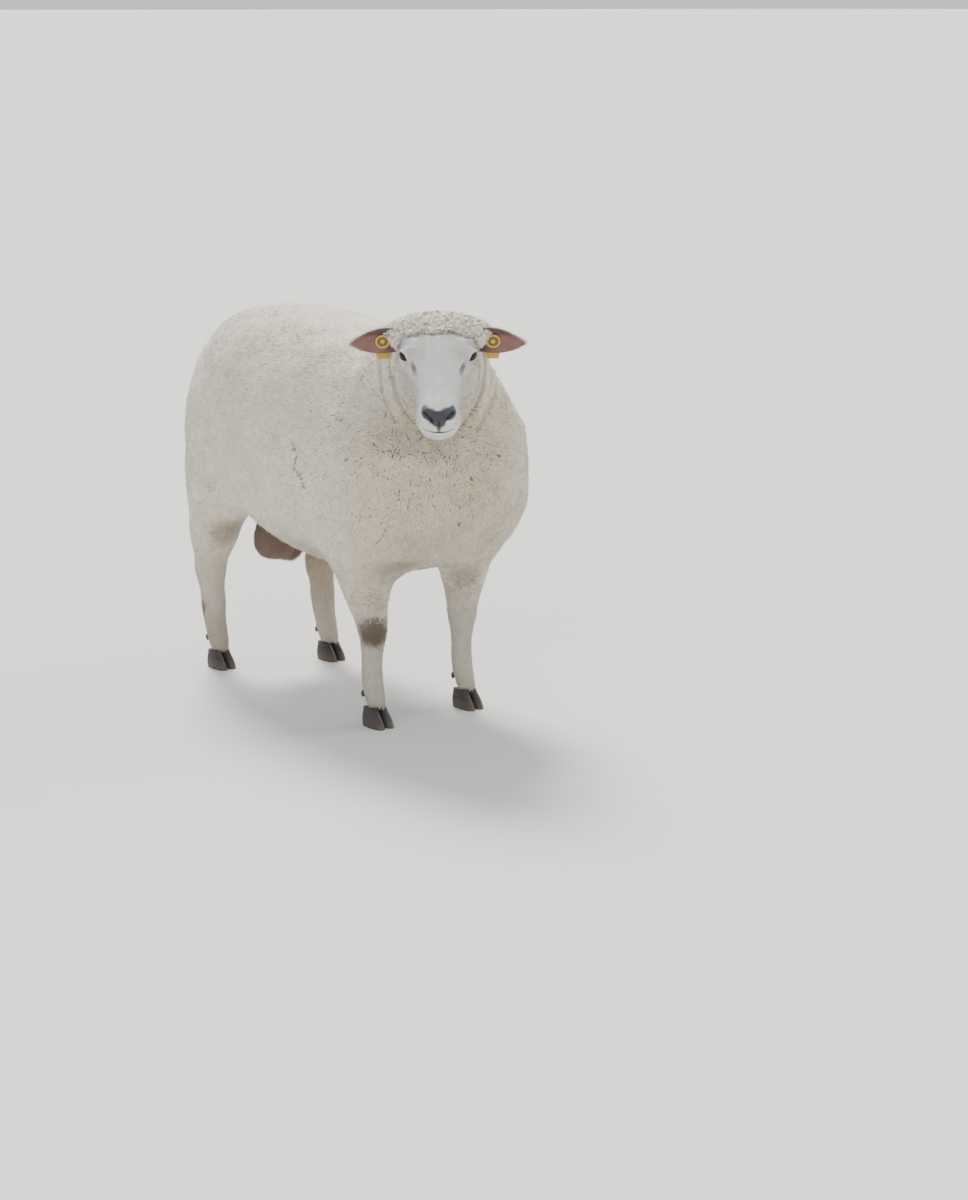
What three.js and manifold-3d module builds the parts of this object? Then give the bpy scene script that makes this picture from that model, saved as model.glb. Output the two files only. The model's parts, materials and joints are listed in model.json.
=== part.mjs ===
// A standing ram in short fleece, life size, in millimetres, +Z up, on a floor at Z = 0.
// The animal faces -Y, so its left side is +X. Its head is turned to its right.
// The body is one smooth form, a blend of tapered limbs and rounded masses, whose surface is
// the tips of the coat. Each sub-part is a closed skin cast outwards from an axis of its own
// onto that form, and thin cuts part it from its neighbours.
import * as THREE from "three";
import Module from "manifold-3d";

const wasm = await Module();
wasm.setup();

const V = (x, y, z) => new THREE.Vector3(x, y, z);
const LEFT = 1;
const RIGHT = -1;

// ---------------------------------------------------------------- driving dimensions, mm
const SEAM = 0.4; // clearance that every cut leaves between two sub-parts
const trunk = {
  front: -448, // the breast
  rear: 432, // the buttocks
  // Stations from breast to rump: y, height of the back, height of the underline, half width.
  stations: [
    { y: -430, back: 670, under: 345, half: 205 },
    { y: -330, back: 712, under: 298, half: 226 },
    { y: -200, back: 737, under: 286, half: 232 },
    { y: -20, back: 776, under: 281, half: 235 },
    { y: 130, back: 794, under: 315, half: 226 },
    { y: 250, back: 800, under: 395, half: 193 },
    { y: 360, back: 782, under: 435, half: 162 },
  ],
  squareness: 2.45, // of a cross-section: 2 is an ellipse
  bluntness: 3.4, // of the two ends
};
const head = {
  eyes: V(-75, -415, 754), // midway between the eyes
  turn: 36.5, // degrees to the animal's right
  drop: 38, // degrees that the nose points down
};
const eye = { x: 57, y: -3, z: 0, radius: 14.5 };
const foreleg = { side: 110, y: -245, knee: 196, elbow: 372 };
const hindleg = { side: 112, y: 345, hock: 224, stifle: 415 };
const hindStep = { [LEFT]: -87, [RIGHT]: 0 }; // the left hind foot stands further forward
const hoof = { height: 38, length: 62, width: 24, split: 1.6 };
const ear = { root: 62, length: 102, width: 49, thickness: 5, cup: 11 };
const tag = { out: 104, radius: 14, thickness: 3, stud: 3.2, panelWidth: 25, panelHeight: 52 };

// ---------------------------------------------------------------- colours of the sub-parts
const finish = (color, roughness, metalness = 0) =>
  new THREE.MeshStandardMaterial({ color, roughness, metalness });
const FLEECE = finish(0xd9d1bf, 0.95);
const FACE = finish(0xd8d6d0, 0.9);
const EAR = finish(0x7a5048, 0.8);
const EYE = finish(0x2a1c12, 0.15);
const HORN = finish(0x3f3831, 0.55);
const SKIN = finish(0x7d5a4c, 0.85);
const YELLOW = finish(0xd9a420, 0.45);

// ---------------------------------------------------------------- forms
// A form is a function of a point: about how far the point lies outside it, in mm.

// An ellipsoid.
function ball(x, y, z, rx, ry, rz) {
  return (p) => {
    const a = (p.x - x) / rx;
    const b = (p.y - y) / ry;
    const c = (p.z - z) / rz;
    const reach = Math.hypot(a, b, c);
    const slope = Math.hypot(a / rx, b / ry, c / rz);
    return slope < 1e-9 ? -Math.min(rx, ry, rz) : (reach * (reach - 1)) / slope;
  };
}

// A round limb that tapers from one point to another.
function limb(from, to, startRadius, endRadius) {
  const along = to.clone().sub(from);
  const squared = along.lengthSq();
  const offset = V();
  return (p) => {
    offset.copy(p).sub(from);
    const share = THREE.MathUtils.clamp(offset.dot(along) / squared, 0, 1);
    offset.addScaledVector(along, -share);
    return offset.length() - THREE.MathUtils.lerp(startRadius, endRadius, share);
  };
}

// Several forms as one, with a fillet of about the given softness where they meet.
function blend(softness, ...forms) {
  return (p) => {
    let nearest = forms[0](p);
    for (let i = 1; i < forms.length; i += 1) {
      const next = forms[i](p);
      const overlap = Math.max(softness - Math.abs(nearest - next), 0) / softness;
      nearest = Math.min(nearest, next) - (overlap * overlap * softness) / 4;
    }
    return nearest;
  };
}

// A form given in a frame of its own, set into the body's frame by a matrix.
function placed(matrix, form) {
  const inverse = matrix.clone().invert();
  const local = V();
  return (p) => form(local.copy(p).applyMatrix4(inverse));
}

// One measure of the trunk's stations at a place along the body, on a smooth curve.
function stationCurve(key) {
  const points = trunk.stations.map((s) => new THREE.Vector2(s.y, s[key]));
  const curve = new THREE.SplineCurve(points);
  const samples = curve.getPoints(120);
  return (y) => {
    if (y <= samples[0].x) return samples[0].y;
    const i = samples.findIndex((s) => s.x >= y);
    if (i < 0) return samples[samples.length - 1].y;
    const share = (y - samples[i - 1].x) / (samples[i].x - samples[i - 1].x);
    return THREE.MathUtils.lerp(samples[i - 1].y, samples[i].y, share);
  };
}

// The rib cage, loin and rump: a barrel with a flat back and blunt ends.
function barrel() {
  const back = stationCurve("back");
  const under = stationCurve("under");
  const half = stationCurve("half");
  const middle = (trunk.front + trunk.rear) / 2;
  const length = (trunk.rear - trunk.front) / 2;
  const { squareness: n, bluntness: m } = trunk;
  return (p) => {
    const height = (back(p.y) - under(p.y)) / 2;
    const centre = (back(p.y) + under(p.y)) / 2;
    const width = half(p.y);
    const across = Math.abs(p.x) / width;
    const up = Math.abs(p.z - centre) / height;
    const section = (across ** n + up ** n) ** (1 / n);
    const along = Math.abs(p.y - middle) / length;
    return ((section ** m + along ** m) ** (1 / m) - 1) * Math.min(width, height);
  };
}

const headPlace = new THREE.Matrix4()
  .makeRotationFromEuler(
    new THREE.Euler(
      THREE.MathUtils.degToRad(head.drop),
      0,
      -THREE.MathUtils.degToRad(head.turn),
      "ZYX",
    ),
  )
  .setPosition(head.eyes);
const inHead = (x, y, z) => V(x, y, z).applyMatrix4(headPlace);

// ---------------------------------------------------------------- the animal's forms
const bothSides = (make) => [make(LEFT), make(RIGHT)];

const trunkForm = blend(
  45,
  barrel(),
  ...bothSides((s) => ball(s * 137, -278, 480, 82, 110, 165)), // shoulder and upper arm
  ...bothSides((s) => ball(s * 118, 268 + hindStep[s] / 3, 522, 92, 106, 158)), // thigh
);
const neckForm = blend(
  50,
  limb(V(22, -232, 622), V(6, -285, 668), 136, 120),
  limb(V(6, -285, 668), V(-18, -322, 704), 120, 88),
);
// The head in its own frame: the eyes' midpoint at the origin, the nose along -Y.
const skullForm = blend(
  20,
  ball(0, 48, -38, 64, 68, 55), // cranium
  ball(0, 8, -12, 58, 54, 36), // brow
  limb(V(0, 0, -30), V(0, -120, -31), 49, 33), // bridge of the nose
  limb(V(0, -10, -56), V(0, -108, -46), 48, 37), // upper jaw
  limb(V(0, 0, -80), V(0, -118, -56), 34, 24), // lower jaw
  ...bothSides((s) => ball(s * 42, 14, -62, 28, 52, 48)), // cheeks
  ...bothSides((s) => ball(s * 50, 6, 0, 16, 25, 18)), // orbits
  ball(0, -135, -33, 41, 30, 32), // muzzle
  ball(0, -136, -57, 29, 25, 17), // chin
);
const pollForm = blend(
  30,
  ball(2, 66, -6, 91, 45, 38), // wool of the poll
  ...bothSides((s) => ball(s * 58, 72, -62, 38, 48, 66)), // wool behind the cheeks
  ...bothSides((s) => ball(s * 85, 53, 8, 26, 22, 17)), // wool that hangs over each ear's root
);
// A roll of wool that frames the face, from behind each ear to under the throat.
const ruffForm = blend(
  24,
  ...bothSides((s) => limb(V(s * 74, 68, -34), V(s * 70, 38, -102), 26, 29)),
  ...bothSides((s) => limb(V(s * 70, 38, -102), V(s * 50, 4, -136), 29, 32)),
  ...bothSides((s) => limb(V(s * 50, 4, -136), V(0, -14, -150), 32, 34)),
);
const headForm = placed(headPlace, blend(14, skullForm, pollForm, ruffForm));

const forelegForms = {};
const hindlegForms = {};
const kneeOf = (s) => V(s * foreleg.side, foreleg.y, foreleg.knee);
const hockOf = (s) => V(s * hindleg.side, hindleg.y + 6 + hindStep[s], hindleg.hock);
for (const s of [LEFT, RIGHT]) {
  const fore = (x, y, z) => V(s * (foreleg.side + x), foreleg.y + y, z);
  forelegForms[s] = blend(
    14,
    limb(fore(22, 14, foreleg.elbow), fore(9, 6, 262), 74, 43), // forearm in wool
    limb(fore(9, 6, 262), kneeOf(s), 42, 27),
    ball(s * foreleg.side, foreleg.y - 2, foreleg.knee - 2, 28, 27, 33), // knee
    limb(kneeOf(s), fore(1, 5, 96), 23, 18.5), // cannon
    ball(s * (foreleg.side + 1), foreleg.y + 4, 80, 23, 23, 19), // fetlock
    limb(fore(1, 3, 80), fore(2, -14, 42), 20, 22), // pastern
  );
  const hind = (x, y, z) => V(s * (hindleg.side + x), hindleg.y + hindStep[s] + y, z);
  hindlegForms[s] = blend(
    20,
    limb(hind(-15, -14, 500), hind(8, -25, 335), 70, 47), // ham
    limb(hind(24, -92, hindleg.stifle), hind(6, -20, 290), 84, 48), // gaskin in wool
    limb(hind(6, -20, 290), hockOf(s), 48, 31),
    ball(s * hindleg.side, hindleg.y + 12 + hindStep[s], 226, 28, 32, 34), // hock
    limb(hockOf(s), hind(0, -2, 140), 28, 24), // cannon
    limb(hind(0, -2, 140), hind(0, -8, 94), 24, 20),
    ball(s * hindleg.side, hindleg.y - 11 + hindStep[s], 80, 23, 24, 19), // fetlock
    limb(hind(0, -11, 80), hind(1, -28, 42), 20, 22), // pastern
  );
}
const tailForm = blend(
  24,
  limb(V(0, 402, 690), V(0, 452, 600), 42, 34),
  limb(V(0, 452, 600), V(0, 456, 520), 34, 23),
);
const pouchForm = blend(
  26,
  limb(V(0, 244, 410), V(0, 254, 330), 42, 38), // neck of the scrotum
  ...bothSides((s) => ball(s * 25, 255, 278, 37, 43, 52)),
);

// ---------------------------------------------------------------- meshes and cuts
function solidOf(positions, triangles) {
  const mesh = new wasm.Mesh({
    numProp: 3,
    vertProperties: new Float32Array(positions),
    triVerts: new Uint32Array(triangles),
  });
  return new wasm.Manifold(mesh);
}

// The closed mesh of rings of points, each with as many points as the next. An end is a
// flat fan round the mean of its last ring.
function loft(rings) {
  const count = rings[0].length;
  const positions = rings.flat().flatMap((p) => [p.x, p.y, p.z]);
  const triangles = [];
  for (let i = 0; i + 1 < rings.length; i += 1) {
    for (let j = 0; j < count; j += 1) {
      const a = i * count + j;
      const b = i * count + ((j + 1) % count);
      triangles.push(a, b, a + count, b, b + count, a + count);
    }
  }
  const fan = (ring, first, turned) => {
    const mean = ring.reduce((sum, p) => sum.add(p), V(0, 0, 0)).divideScalar(count);
    const tip = positions.length / 3;
    positions.push(mean.x, mean.y, mean.z);
    for (let j = 0; j < count; j += 1) {
      const a = first + j;
      const b = first + ((j + 1) % count);
      triangles.push(...(turned ? [a, tip, b] : [a, b, tip]));
    }
  };
  fan(rings[0], 0, true);
  fan(rings[rings.length - 1], (rings.length - 1) * count, false);
  return solidOf(positions, triangles);
}

// How far a ray from a point inside a form goes before it comes out.
function rayLength(form, origin, direction, reach) {
  const at = V();
  const outside = (d) => form(at.copy(origin).addScaledVector(direction, d)) > 0;
  let near = 0;
  let far = 0;
  while (far < reach) {
    near = far;
    const gap = Math.abs(form(at.copy(origin).addScaledVector(direction, far)));
    far = Math.min(reach, far + Math.max(0.6 * gap, 0.8));
    if (outside(far)) break;
  }
  if (!outside(far)) return reach;
  for (let i = 0; i < 14; i += 1) {
    const middle = (near + far) / 2;
    if (outside(middle)) far = middle;
    else near = middle;
  }
  return (near + far) / 2;
}

// A closed skin over a form, cast outwards from an axis in rings. A domed end closes over
// the form with rings that tilt towards the axis, and a plain end is flat. `side` is a
// direction across the axis, from which the rings are counted.
function castSkin(form, skin) {
  const { axis, rings, segments, side, domes = 0, domeStart, domeEnd, reach = 400 } = skin;
  const curve = new THREE.CatmullRomCurve3(axis, false, "centripetal");
  const ring = (share, tilt) => {
    const centre = curve.getPointAt(share);
    const along = curve.getTangentAt(share);
    const across = side.clone().addScaledVector(along, -side.dot(along)).normalize();
    const third = along.clone().cross(across);
    return Array.from({ length: segments }, (_, j) => {
      const angle = (2 * Math.PI * j) / segments;
      const direction = across
        .clone()
        .multiplyScalar(Math.cos(angle))
        .addScaledVector(third, Math.sin(angle))
        .multiplyScalar(Math.cos(tilt))
        .addScaledVector(along, Math.sin(tilt));
      const length = rayLength(form, centre, direction, reach);
      return direction.multiplyScalar(length).add(centre);
    });
  };
  const tilts = Array.from({ length: domes }, (_, i) => ((i + 1) * Math.PI) / 2 / (domes + 0.35));
  const skins = [];
  if (domeStart) skins.push(...tilts.toReversed().map((t) => ring(0, -t)));
  for (let i = 0; i < rings; i += 1) skins.push(ring(i / (rings - 1), 0));
  if (domeEnd) skins.push(...tilts.map((t) => ring(1, t)));
  return loft(skins);
}

// A three.js geometry as a solid, for cutting.
function cutter(geometry, matrix) {
  const whole = geometry.clone().applyMatrix4(matrix);
  const keys = new Map();
  const positions = [];
  const source = whole.getAttribute("position");
  const vertexOf = (i) => {
    const p = [source.getX(i), source.getY(i), source.getZ(i)];
    const key = p.map((x) => Math.round(x * 1e3)).join();
    if (!keys.has(key)) {
      keys.set(key, positions.length / 3);
      positions.push(...p);
    }
    return keys.get(key);
  };
  const index = whole.index ? [...whole.index.array] : [...Array(source.count).keys()];
  const triangles = [];
  for (let i = 0; i < index.length; i += 3) {
    const corners = [0, 1, 2].map((k) => vertexOf(index[i + k]));
    if (new Set(corners).size === 3) triangles.push(...corners);
  }
  return solidOf(positions, triangles);
}

// Everything beyond a plane, as a large block.
function beyond(point, normal) {
  const size = 3000;
  const block = new THREE.BoxGeometry(size, size, size).translate(0, 0, size / 2);
  const turn = new THREE.Quaternion().setFromUnitVectors(V(0, 0, 1), normal.clone().normalize());
  return cutter(block, new THREE.Matrix4().compose(point, turn, V(1, 1, 1)));
}

// The space in front of every one of the given planes, each moved forward by a shift.
function corner(planes, shift) {
  const halves = planes.map(({ point, normal }) => {
    const n = normal.clone().normalize();
    return beyond(point.clone().addScaledVector(n, shift), n);
  });
  return halves.reduce((common, half) => common.intersect(half));
}

// The largest body of a solid that a cut has left in pieces.
const largest = (solid) => solid.decompose().sort((a, b) => b.volume() - a.volume())[0];

const animal = new THREE.Group();
function add(name, solid, material) {
  const made = solid.getMesh();
  const geometry = new THREE.BufferGeometry();
  const stride = made.numProp;
  const positions = new Float32Array(made.numVert * 3);
  for (let i = 0; i < made.numVert; i += 1) {
    positions.set(made.vertProperties.subarray(i * stride, i * stride + 3), i * 3);
  }
  geometry.setAttribute("position", new THREE.BufferAttribute(positions, 3));
  geometry.setIndex(new THREE.BufferAttribute(made.triVerts, 1));
  const mesh = new THREE.Mesh(geometry, material);
  mesh.name = name;
  animal.add(mesh);
  return mesh;
}

// ---------------------------------------------------------------- the cuts
// A sub-part takes all of the body that lies in front of its planes.
const plane = (point, normal) => ({ point, normal });
const neckPlanes = [
  plane(V(0, -262, 640), V(-0.12, -0.99, 0)), // the shoulders
  plane(V(-20, -340, 588), V(0, -0.3, 0.95)), // the top of the breast
];
const headPlanes = [
  plane(inHead(0, 98, 0), V(0, -0.95, 0.3).transformDirection(headPlace)), // the nape
  plane(inHead(0, 0, -118), V(0, -0.12, 0.99).transformDirection(headPlace)), // the throat
];
const forelegPlanes = (s) => [
  plane(V(0, 0, 385), V(s * 0.35, 0, -1)), // the elbow
  plane(V(s * 42, 0, 0), V(s, 0, 0)),
  plane(V(0, foreleg.y - 112, 0), V(0, 1, 0)),
  plane(V(0, foreleg.y + 118, 0), V(0, -1, 0)),
];
const hindlegPlanes = (s) => [
  plane(V(0, hindleg.y + hindStep[s], 452), V(s * 0.3, 0.12, -1)), // the stifle
  plane(V(s * 32, 0, 0), V(s, 0, 0)),
  plane(V(0, hindleg.y + hindStep[s] - 205, 0), V(0, 1, 0.2)),
];
const tailPlanes = [
  plane(V(0, 417, 600), V(0, 1, -0.12)),
  plane(V(0, 0, 706), V(0, 0, -1)),
  plane(V(58, 0, 0), V(-1, 0, 0)),
  plane(V(-58, 0, 0), V(1, 0, 0)),
];
const pouchPlanes = [
  plane(V(0, 0, 366), V(0, 0, -1)),
  plane(V(60, 0, 0), V(-1, 0, 0)),
  plane(V(-60, 0, 0), V(1, 0, 0)),
  plane(V(0, 200, 0), V(0, 1, 0)),
  plane(V(0, 306, 0), V(0, -1, 0)),
];

// ---------------------------------------------------------------- trunk, neck and head
const bodyForm = blend(50, trunkForm, neckForm);
const trunkCast = castSkin(bodyForm, {
  axis: [V(0, trunk.front + 150, 530), V(0, 0, 540), V(0, trunk.rear - 150, 585)],
  rings: 12,
  segments: 36,
  side: V(1, 0, 0),
  domes: 4,
  domeStart: true,
  domeEnd: true,
});

const neckCast = castSkin(blend(22, bodyForm, headForm), {
  axis: [V(-4, -225, 640), V(-14, -285, 670), V(-28, -330, 712), V(-62, -400, 742)],
  rings: 12,
  segments: 28,
  side: V(1, 0, 0),
  reach: 260,
});
const neckSolid = neckCast
  .intersect(corner(neckPlanes, SEAM / 2))
  .subtract(corner(headPlanes, -SEAM / 2));
add("neck", largest(neckSolid), FLEECE);

let headSolid = castSkin(blend(22, neckForm, headForm), {
  axis: [inHead(0, 118, -40), inHead(0, 40, -44), inHead(0, -50, -44), inHead(0, -122, -42)],
  rings: 17,
  segments: 28,
  side: V(1, 0, 0).transformDirection(headPlace),
  domes: 4,
  domeEnd: true,
  reach: 200,
}).intersect(corner([...headPlanes, neckPlanes[0]], SEAM / 2));
for (const s of [LEFT, RIGHT]) {
  const place = new THREE.Matrix4().makeTranslation(s * eye.x, eye.y, eye.z).premultiply(headPlace);
  const globe = (radius) => cutter(new THREE.SphereGeometry(radius, 12, 8), place);
  headSolid = headSolid.subtract(globe(eye.radius + 3 * SEAM));
  add(`eye_${s === LEFT ? "left" : "right"}`, globe(eye.radius), EYE);
}

// ---------------------------------------------------------------- ears and their tags
// An ear is a cupped leaf, open to the front, that grows sideways from behind the eye.
function earRings(s, clear) {
  const root = V(s * ear.root, 46, -12);
  const tip = V(s * (ear.root + 92), 42, -12);
  const along = tip.clone().sub(root).normalize();
  const up = V(0, 0.3, 1).normalize();
  const front = V(0, -1, 0.3).normalize();
  const rings = 8;
  const around = 6;
  return Array.from({ length: rings }, (_, i) => {
    const share = i / (rings - 1);
    const reach = ear.length * share + clear * (2 * share - 1);
    const leaf = Math.sin(Math.PI * Math.min(0.985, 0.2 + 0.8 * share) ** 1.15) ** 0.8;
    const half = (ear.width / 2) * leaf + 1.2;
    const cup = ear.cup * leaf;
    const droop = -6 * share * share;
    const point = (v, face) => {
      const across = v * (half + clear);
      const bow = (2 * (across / half) ** 2 - 1) * cup * 0.5;
      const skin = (ear.thickness / 2) * (1 - 0.5 * v * v) + clear;
      return root
        .clone()
        .addScaledVector(along, reach)
        .addScaledVector(up, across + droop)
        .addScaledVector(front, bow + face * skin);
    };
    const outline = [];
    for (let j = 0; j < around; j += 1) outline.push(point((2 * j) / (around - 1) - 1, 1));
    for (let j = 0; j < around; j += 1) outline.push(point(1 - (2 * j) / (around - 1), -1));
    if (s === LEFT) outline.reverse();
    return outline.map((p) => p.applyMatrix4(headPlace));
  });
}

// A tag is a round button in the ear's cup on a stud, and a panel that hangs behind the ear.
function tagSolids(s) {
  const centre = V(s * tag.out, 44, -13);
  const front = V(0, -1, 0.3).normalize();
  const place = (offset) =>
    new THREE.Matrix4()
      .makeBasis(V(-1, 0, 0), front, V(-1, 0, 0).cross(front))
      .setPosition(centre.clone().addScaledVector(front, offset))
      .premultiply(headPlace);
  const turned = (...outline) =>
    cutter(new THREE.LatheGeometry(outline.map(([x, y]) => new THREE.Vector2(x, y)), 12), place(0));
  const r = tag.radius;
  const t = tag.thickness;
  const n = tag.stud;
  const dish = [[r, t], [r - 2.5, t + 1], [r - 4.5, t - 0.6], [4.6, t - 0.6], [3.8, t + 1.4], [0, t + 1.4]];
  const button = turned([0, -8.5], [n, -8.5], [n, 0], [r, 0], ...dish);
  const c = SEAM;
  const room = turned([0, -24], [n + c, -24], [n + c, -c], [r + c, -c], [r + c, t + 9], [0, t + 9]);
  const shape = new THREE.Shape();
  const w = tag.panelWidth / 2;
  const h = tag.panelHeight;
  shape.moveTo(-w * 0.5, 9).lineTo(w * 0.5, 9).lineTo(w, -6).lineTo(w, 12 - h).lineTo(w - 3, 9 - h);
  shape.lineTo(3 - w, 9 - h).lineTo(-w, 12 - h).lineTo(-w, -6);
  shape.closePath();
  const plate = new THREE.ExtrudeGeometry(shape, { depth: 2, bevelEnabled: false });
  plate.rotateX(Math.PI / 2); // the panel's face looks along +Y, as the button's does
  const panel = cutter(plate, place(-9.2));
  const panelRoom = cutter(new THREE.BoxGeometry(2 * w + 6, 5, h + 16).translate(0, 0, 9 - h / 2), place(-10));
  return { button, panel, room, panelRoom };
}

for (const s of [LEFT, RIGHT]) {
  const side = s === LEFT ? "left" : "right";
  const { button, panel, room, panelRoom } = tagSolids(s);
  add(`ear_${side}`, loft(earRings(s, 0)).subtract(room), EAR);
  add(`tag_button_${side}`, button, YELLOW);
  add(`tag_panel_${side}`, panel, YELLOW);
  for (const cut of [loft(earRings(s, SEAM)), room, panelRoom]) headSolid = headSolid.subtract(cut);
}
add("head", largest(headSolid), FACE);

// ---------------------------------------------------------------- legs, tail and scrotum
// A claw: half a cloven hoof, flat on the floor, with its toe forward.
function clawSolid(centre, inner) {
  const rings = [0, 0.12, 1].map((share) => {
    const z = share * hoof.height;
    const taper = share === 0 ? 0.95 : 1 - 0.16 * share;
    const toe = (hoof.length / 2) * (1 - 0.32 * share);
    const heel = (hoof.length / 2) * (1 - 0.14 * share);
    const width = (hoof.width / 2) * taper;
    const points = 12;
    return Array.from({ length: points }, (_, j) => {
      const angle = (2 * Math.PI * j) / points;
      const c = Math.cos(angle);
      const n = Math.sin(angle);
      const x = width * Math.sign(c) * Math.abs(c) ** 0.8;
      const y = n < 0 ? -toe * Math.abs(n) ** 0.9 : heel * n ** 0.7;
      // The inner wall is nearly straight, and the toes lean towards each other.
      const lean = n < 0 ? -inner * 2.2 * n * (1 - share) : 0;
      const middle = (inner * (hoof.width + hoof.split)) / 2;
      return V(centre.x + middle + x - lean, centre.y + y + 11 * share, z);
    });
  });
  return loft(rings);
}

function claws(name, footCentre, s) {
  for (const inner of [-1, 1]) {
    const which = inner * s < 0 ? "inner" : "outer";
    const below = corner([plane(V(0, 0, hoof.height), V(0, 0, -1))], SEAM);
    add(`${name}_claw_${which}`, clawSolid(footCentre, inner).intersect(below), HORN);
  }
}

// The body's form for a limb's cast: it lies a little under the trunk's own skin, so that the
// limb only shows where its fillet rises out of the trunk.
const under = (p) => trunkForm(p) + 2.5;

let whole = trunkCast;
for (const s of [LEFT, RIGHT]) {
  const side = s === LEFT ? "left" : "right";
  const skin = { rings: 13, segments: 14, side: V(1, 0, 0), reach: 125 };
  const fore = (x, y, z) => V(s * (foreleg.side + x), foreleg.y + y, z);
  const foreAxis = [
    fore(16, 16, 420),
    fore(10, 8, 300),
    kneeOf(s),
    fore(1, 4, 120),
    fore(1, 3, 80),
    fore(2, -15, 30),
  ];
  whole = whole.add(castSkin(blend(24, under, forelegForms[s]), { ...skin, axis: foreAxis }));
  claws(`foreleg_${side}`, fore(2, -20, 0), s);

  const hind = (x, y, z) => V(s * (hindleg.side + x), hindleg.y + hindStep[s] + y, z);
  const hindAxis = [
    hind(22, -80, 450),
    hind(14, -50, 350),
    hockOf(s),
    hind(0, -4, 130),
    hind(0, -11, 80),
    hind(1, -29, 30),
  ];
  whole = whole.add(castSkin(blend(34, under, hindlegForms[s]), { ...skin, axis: hindAxis }));
  claws(`hindleg_${side}`, hind(1, -34, 0), s);
}
const tailCast = castSkin(blend(20, under, tailForm), {
  axis: [V(0, 395, 680), V(0, 452, 600), V(0, 456, 525)],
  rings: 6,
  segments: 10,
  side: V(1, 0, 0),
  domes: 2,
  domeEnd: true,
  reach: 70,
});
const pouchCast = castSkin(blend(14, under, pouchForm), {
  axis: [V(0, 244, 420), V(0, 252, 345), V(0, 255, 278)],
  rings: 5,
  segments: 14,
  side: V(1, 0, 0),
  domes: 3,
  domeEnd: true,
  reach: 70,
});
whole = whole.add(tailCast).add(pouchCast);

// The whole is parted: each sub-part takes its corner, and the trunk keeps the rest.
const ground = plane(V(0, 0, hoof.height), V(0, 0, 1));
whole = whole.intersect(corner([ground], SEAM / 2));
const part = (name, planes, material) => {
  add(name, largest(whole.intersect(corner(planes, SEAM / 2))), material);
  whole = whole.subtract(corner(planes, -SEAM / 2));
};
whole = whole.subtract(corner(neckPlanes, -SEAM / 2));
part("scrotum", pouchPlanes, SKIN);
part("tail", tailPlanes, FLEECE);
for (const s of [LEFT, RIGHT]) {
  const side = s === LEFT ? "left" : "right";
  part(`foreleg_${side}`, forelegPlanes(s), FLEECE);
  part(`hindleg_${side}`, hindlegPlanes(s), FLEECE);
}
add("trunk", largest(whole), FLEECE);

// The origin is on the floor, under the middle of the animal's box.
const box = new THREE.Box3().setFromObject(animal);
const centre = box.getCenter(V());
animal.position.set(-centre.x, -centre.y, -box.min.z);

export default animal;
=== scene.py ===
"""A standing ram in short fleece, in metres, +Z up, on a floor at Z = 0. It faces -Y.

One skin stands for every node of flesh and lies under them by the depth of the coat. The coat
is solid tufts over it: curly wool on the body, and short hair on the face, ears and shins.
"""
import json
import logging
import math
from collections.abc import Callable
from dataclasses import dataclass
from enum import Enum

import bpy
import numpy as np
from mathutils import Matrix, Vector, kdtree, noise

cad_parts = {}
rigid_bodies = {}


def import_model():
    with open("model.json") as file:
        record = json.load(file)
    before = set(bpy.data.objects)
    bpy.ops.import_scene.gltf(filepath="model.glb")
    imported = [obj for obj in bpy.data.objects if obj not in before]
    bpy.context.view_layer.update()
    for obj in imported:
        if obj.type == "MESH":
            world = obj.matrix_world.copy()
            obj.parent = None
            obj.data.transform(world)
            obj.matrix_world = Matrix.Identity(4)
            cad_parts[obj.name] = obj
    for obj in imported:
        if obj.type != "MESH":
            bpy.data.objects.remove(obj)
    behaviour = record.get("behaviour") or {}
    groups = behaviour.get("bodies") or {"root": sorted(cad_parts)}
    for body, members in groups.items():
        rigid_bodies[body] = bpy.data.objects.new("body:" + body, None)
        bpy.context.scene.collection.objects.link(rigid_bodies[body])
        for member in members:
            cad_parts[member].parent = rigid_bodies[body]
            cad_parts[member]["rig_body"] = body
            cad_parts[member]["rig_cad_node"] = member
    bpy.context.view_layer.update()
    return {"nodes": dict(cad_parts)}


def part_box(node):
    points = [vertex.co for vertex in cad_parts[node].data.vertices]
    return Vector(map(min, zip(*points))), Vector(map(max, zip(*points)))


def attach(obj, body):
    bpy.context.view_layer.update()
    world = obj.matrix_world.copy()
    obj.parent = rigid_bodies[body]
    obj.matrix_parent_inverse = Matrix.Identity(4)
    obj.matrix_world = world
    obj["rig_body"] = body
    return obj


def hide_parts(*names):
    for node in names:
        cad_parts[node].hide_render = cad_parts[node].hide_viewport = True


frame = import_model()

Array = np.ndarray
Piece = bpy.types.Object
Material = bpy.types.Material
Socket = bpy.types.NodeSocket
Triple = tuple[float, float, float]

LOG = logging.getLogger("ram")
MM = 0.001
UP = np.array([0.0, 0.0, 1.0])
SIDES = {"left": 1.0, "right": -1.0}
SEED = 7
ROOT = "root"


# ---- numbers and meshes
def smooth(low: float, high: float, value: Array) -> Array:
    """A soft step from 0 at low to 1 at high.

    Args:
        low: Where the step starts.
        high: Where it ends. It may be under low, for a step down.
        value: The numbers to step.

    Returns:
        The step of each number.
    """
    share = np.clip((value - low) / (high - low), 0.0, 1.0)
    return share * share * (3.0 - 2.0 * share)


def unit(vectors: Array) -> Array:
    """Each vector at length 1."""
    return vectors / np.maximum(np.linalg.norm(vectors, axis=-1, keepdims=True), 1e-12)


def lengths(vectors: Array) -> Array:
    """The length of each row."""
    return np.linalg.norm(vectors, axis=1)


def rows(*columns: Array | float) -> Array:
    """Columns side by side. A plain number fills its whole column."""
    return np.stack(np.broadcast_arrays(*columns), 1)


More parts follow.
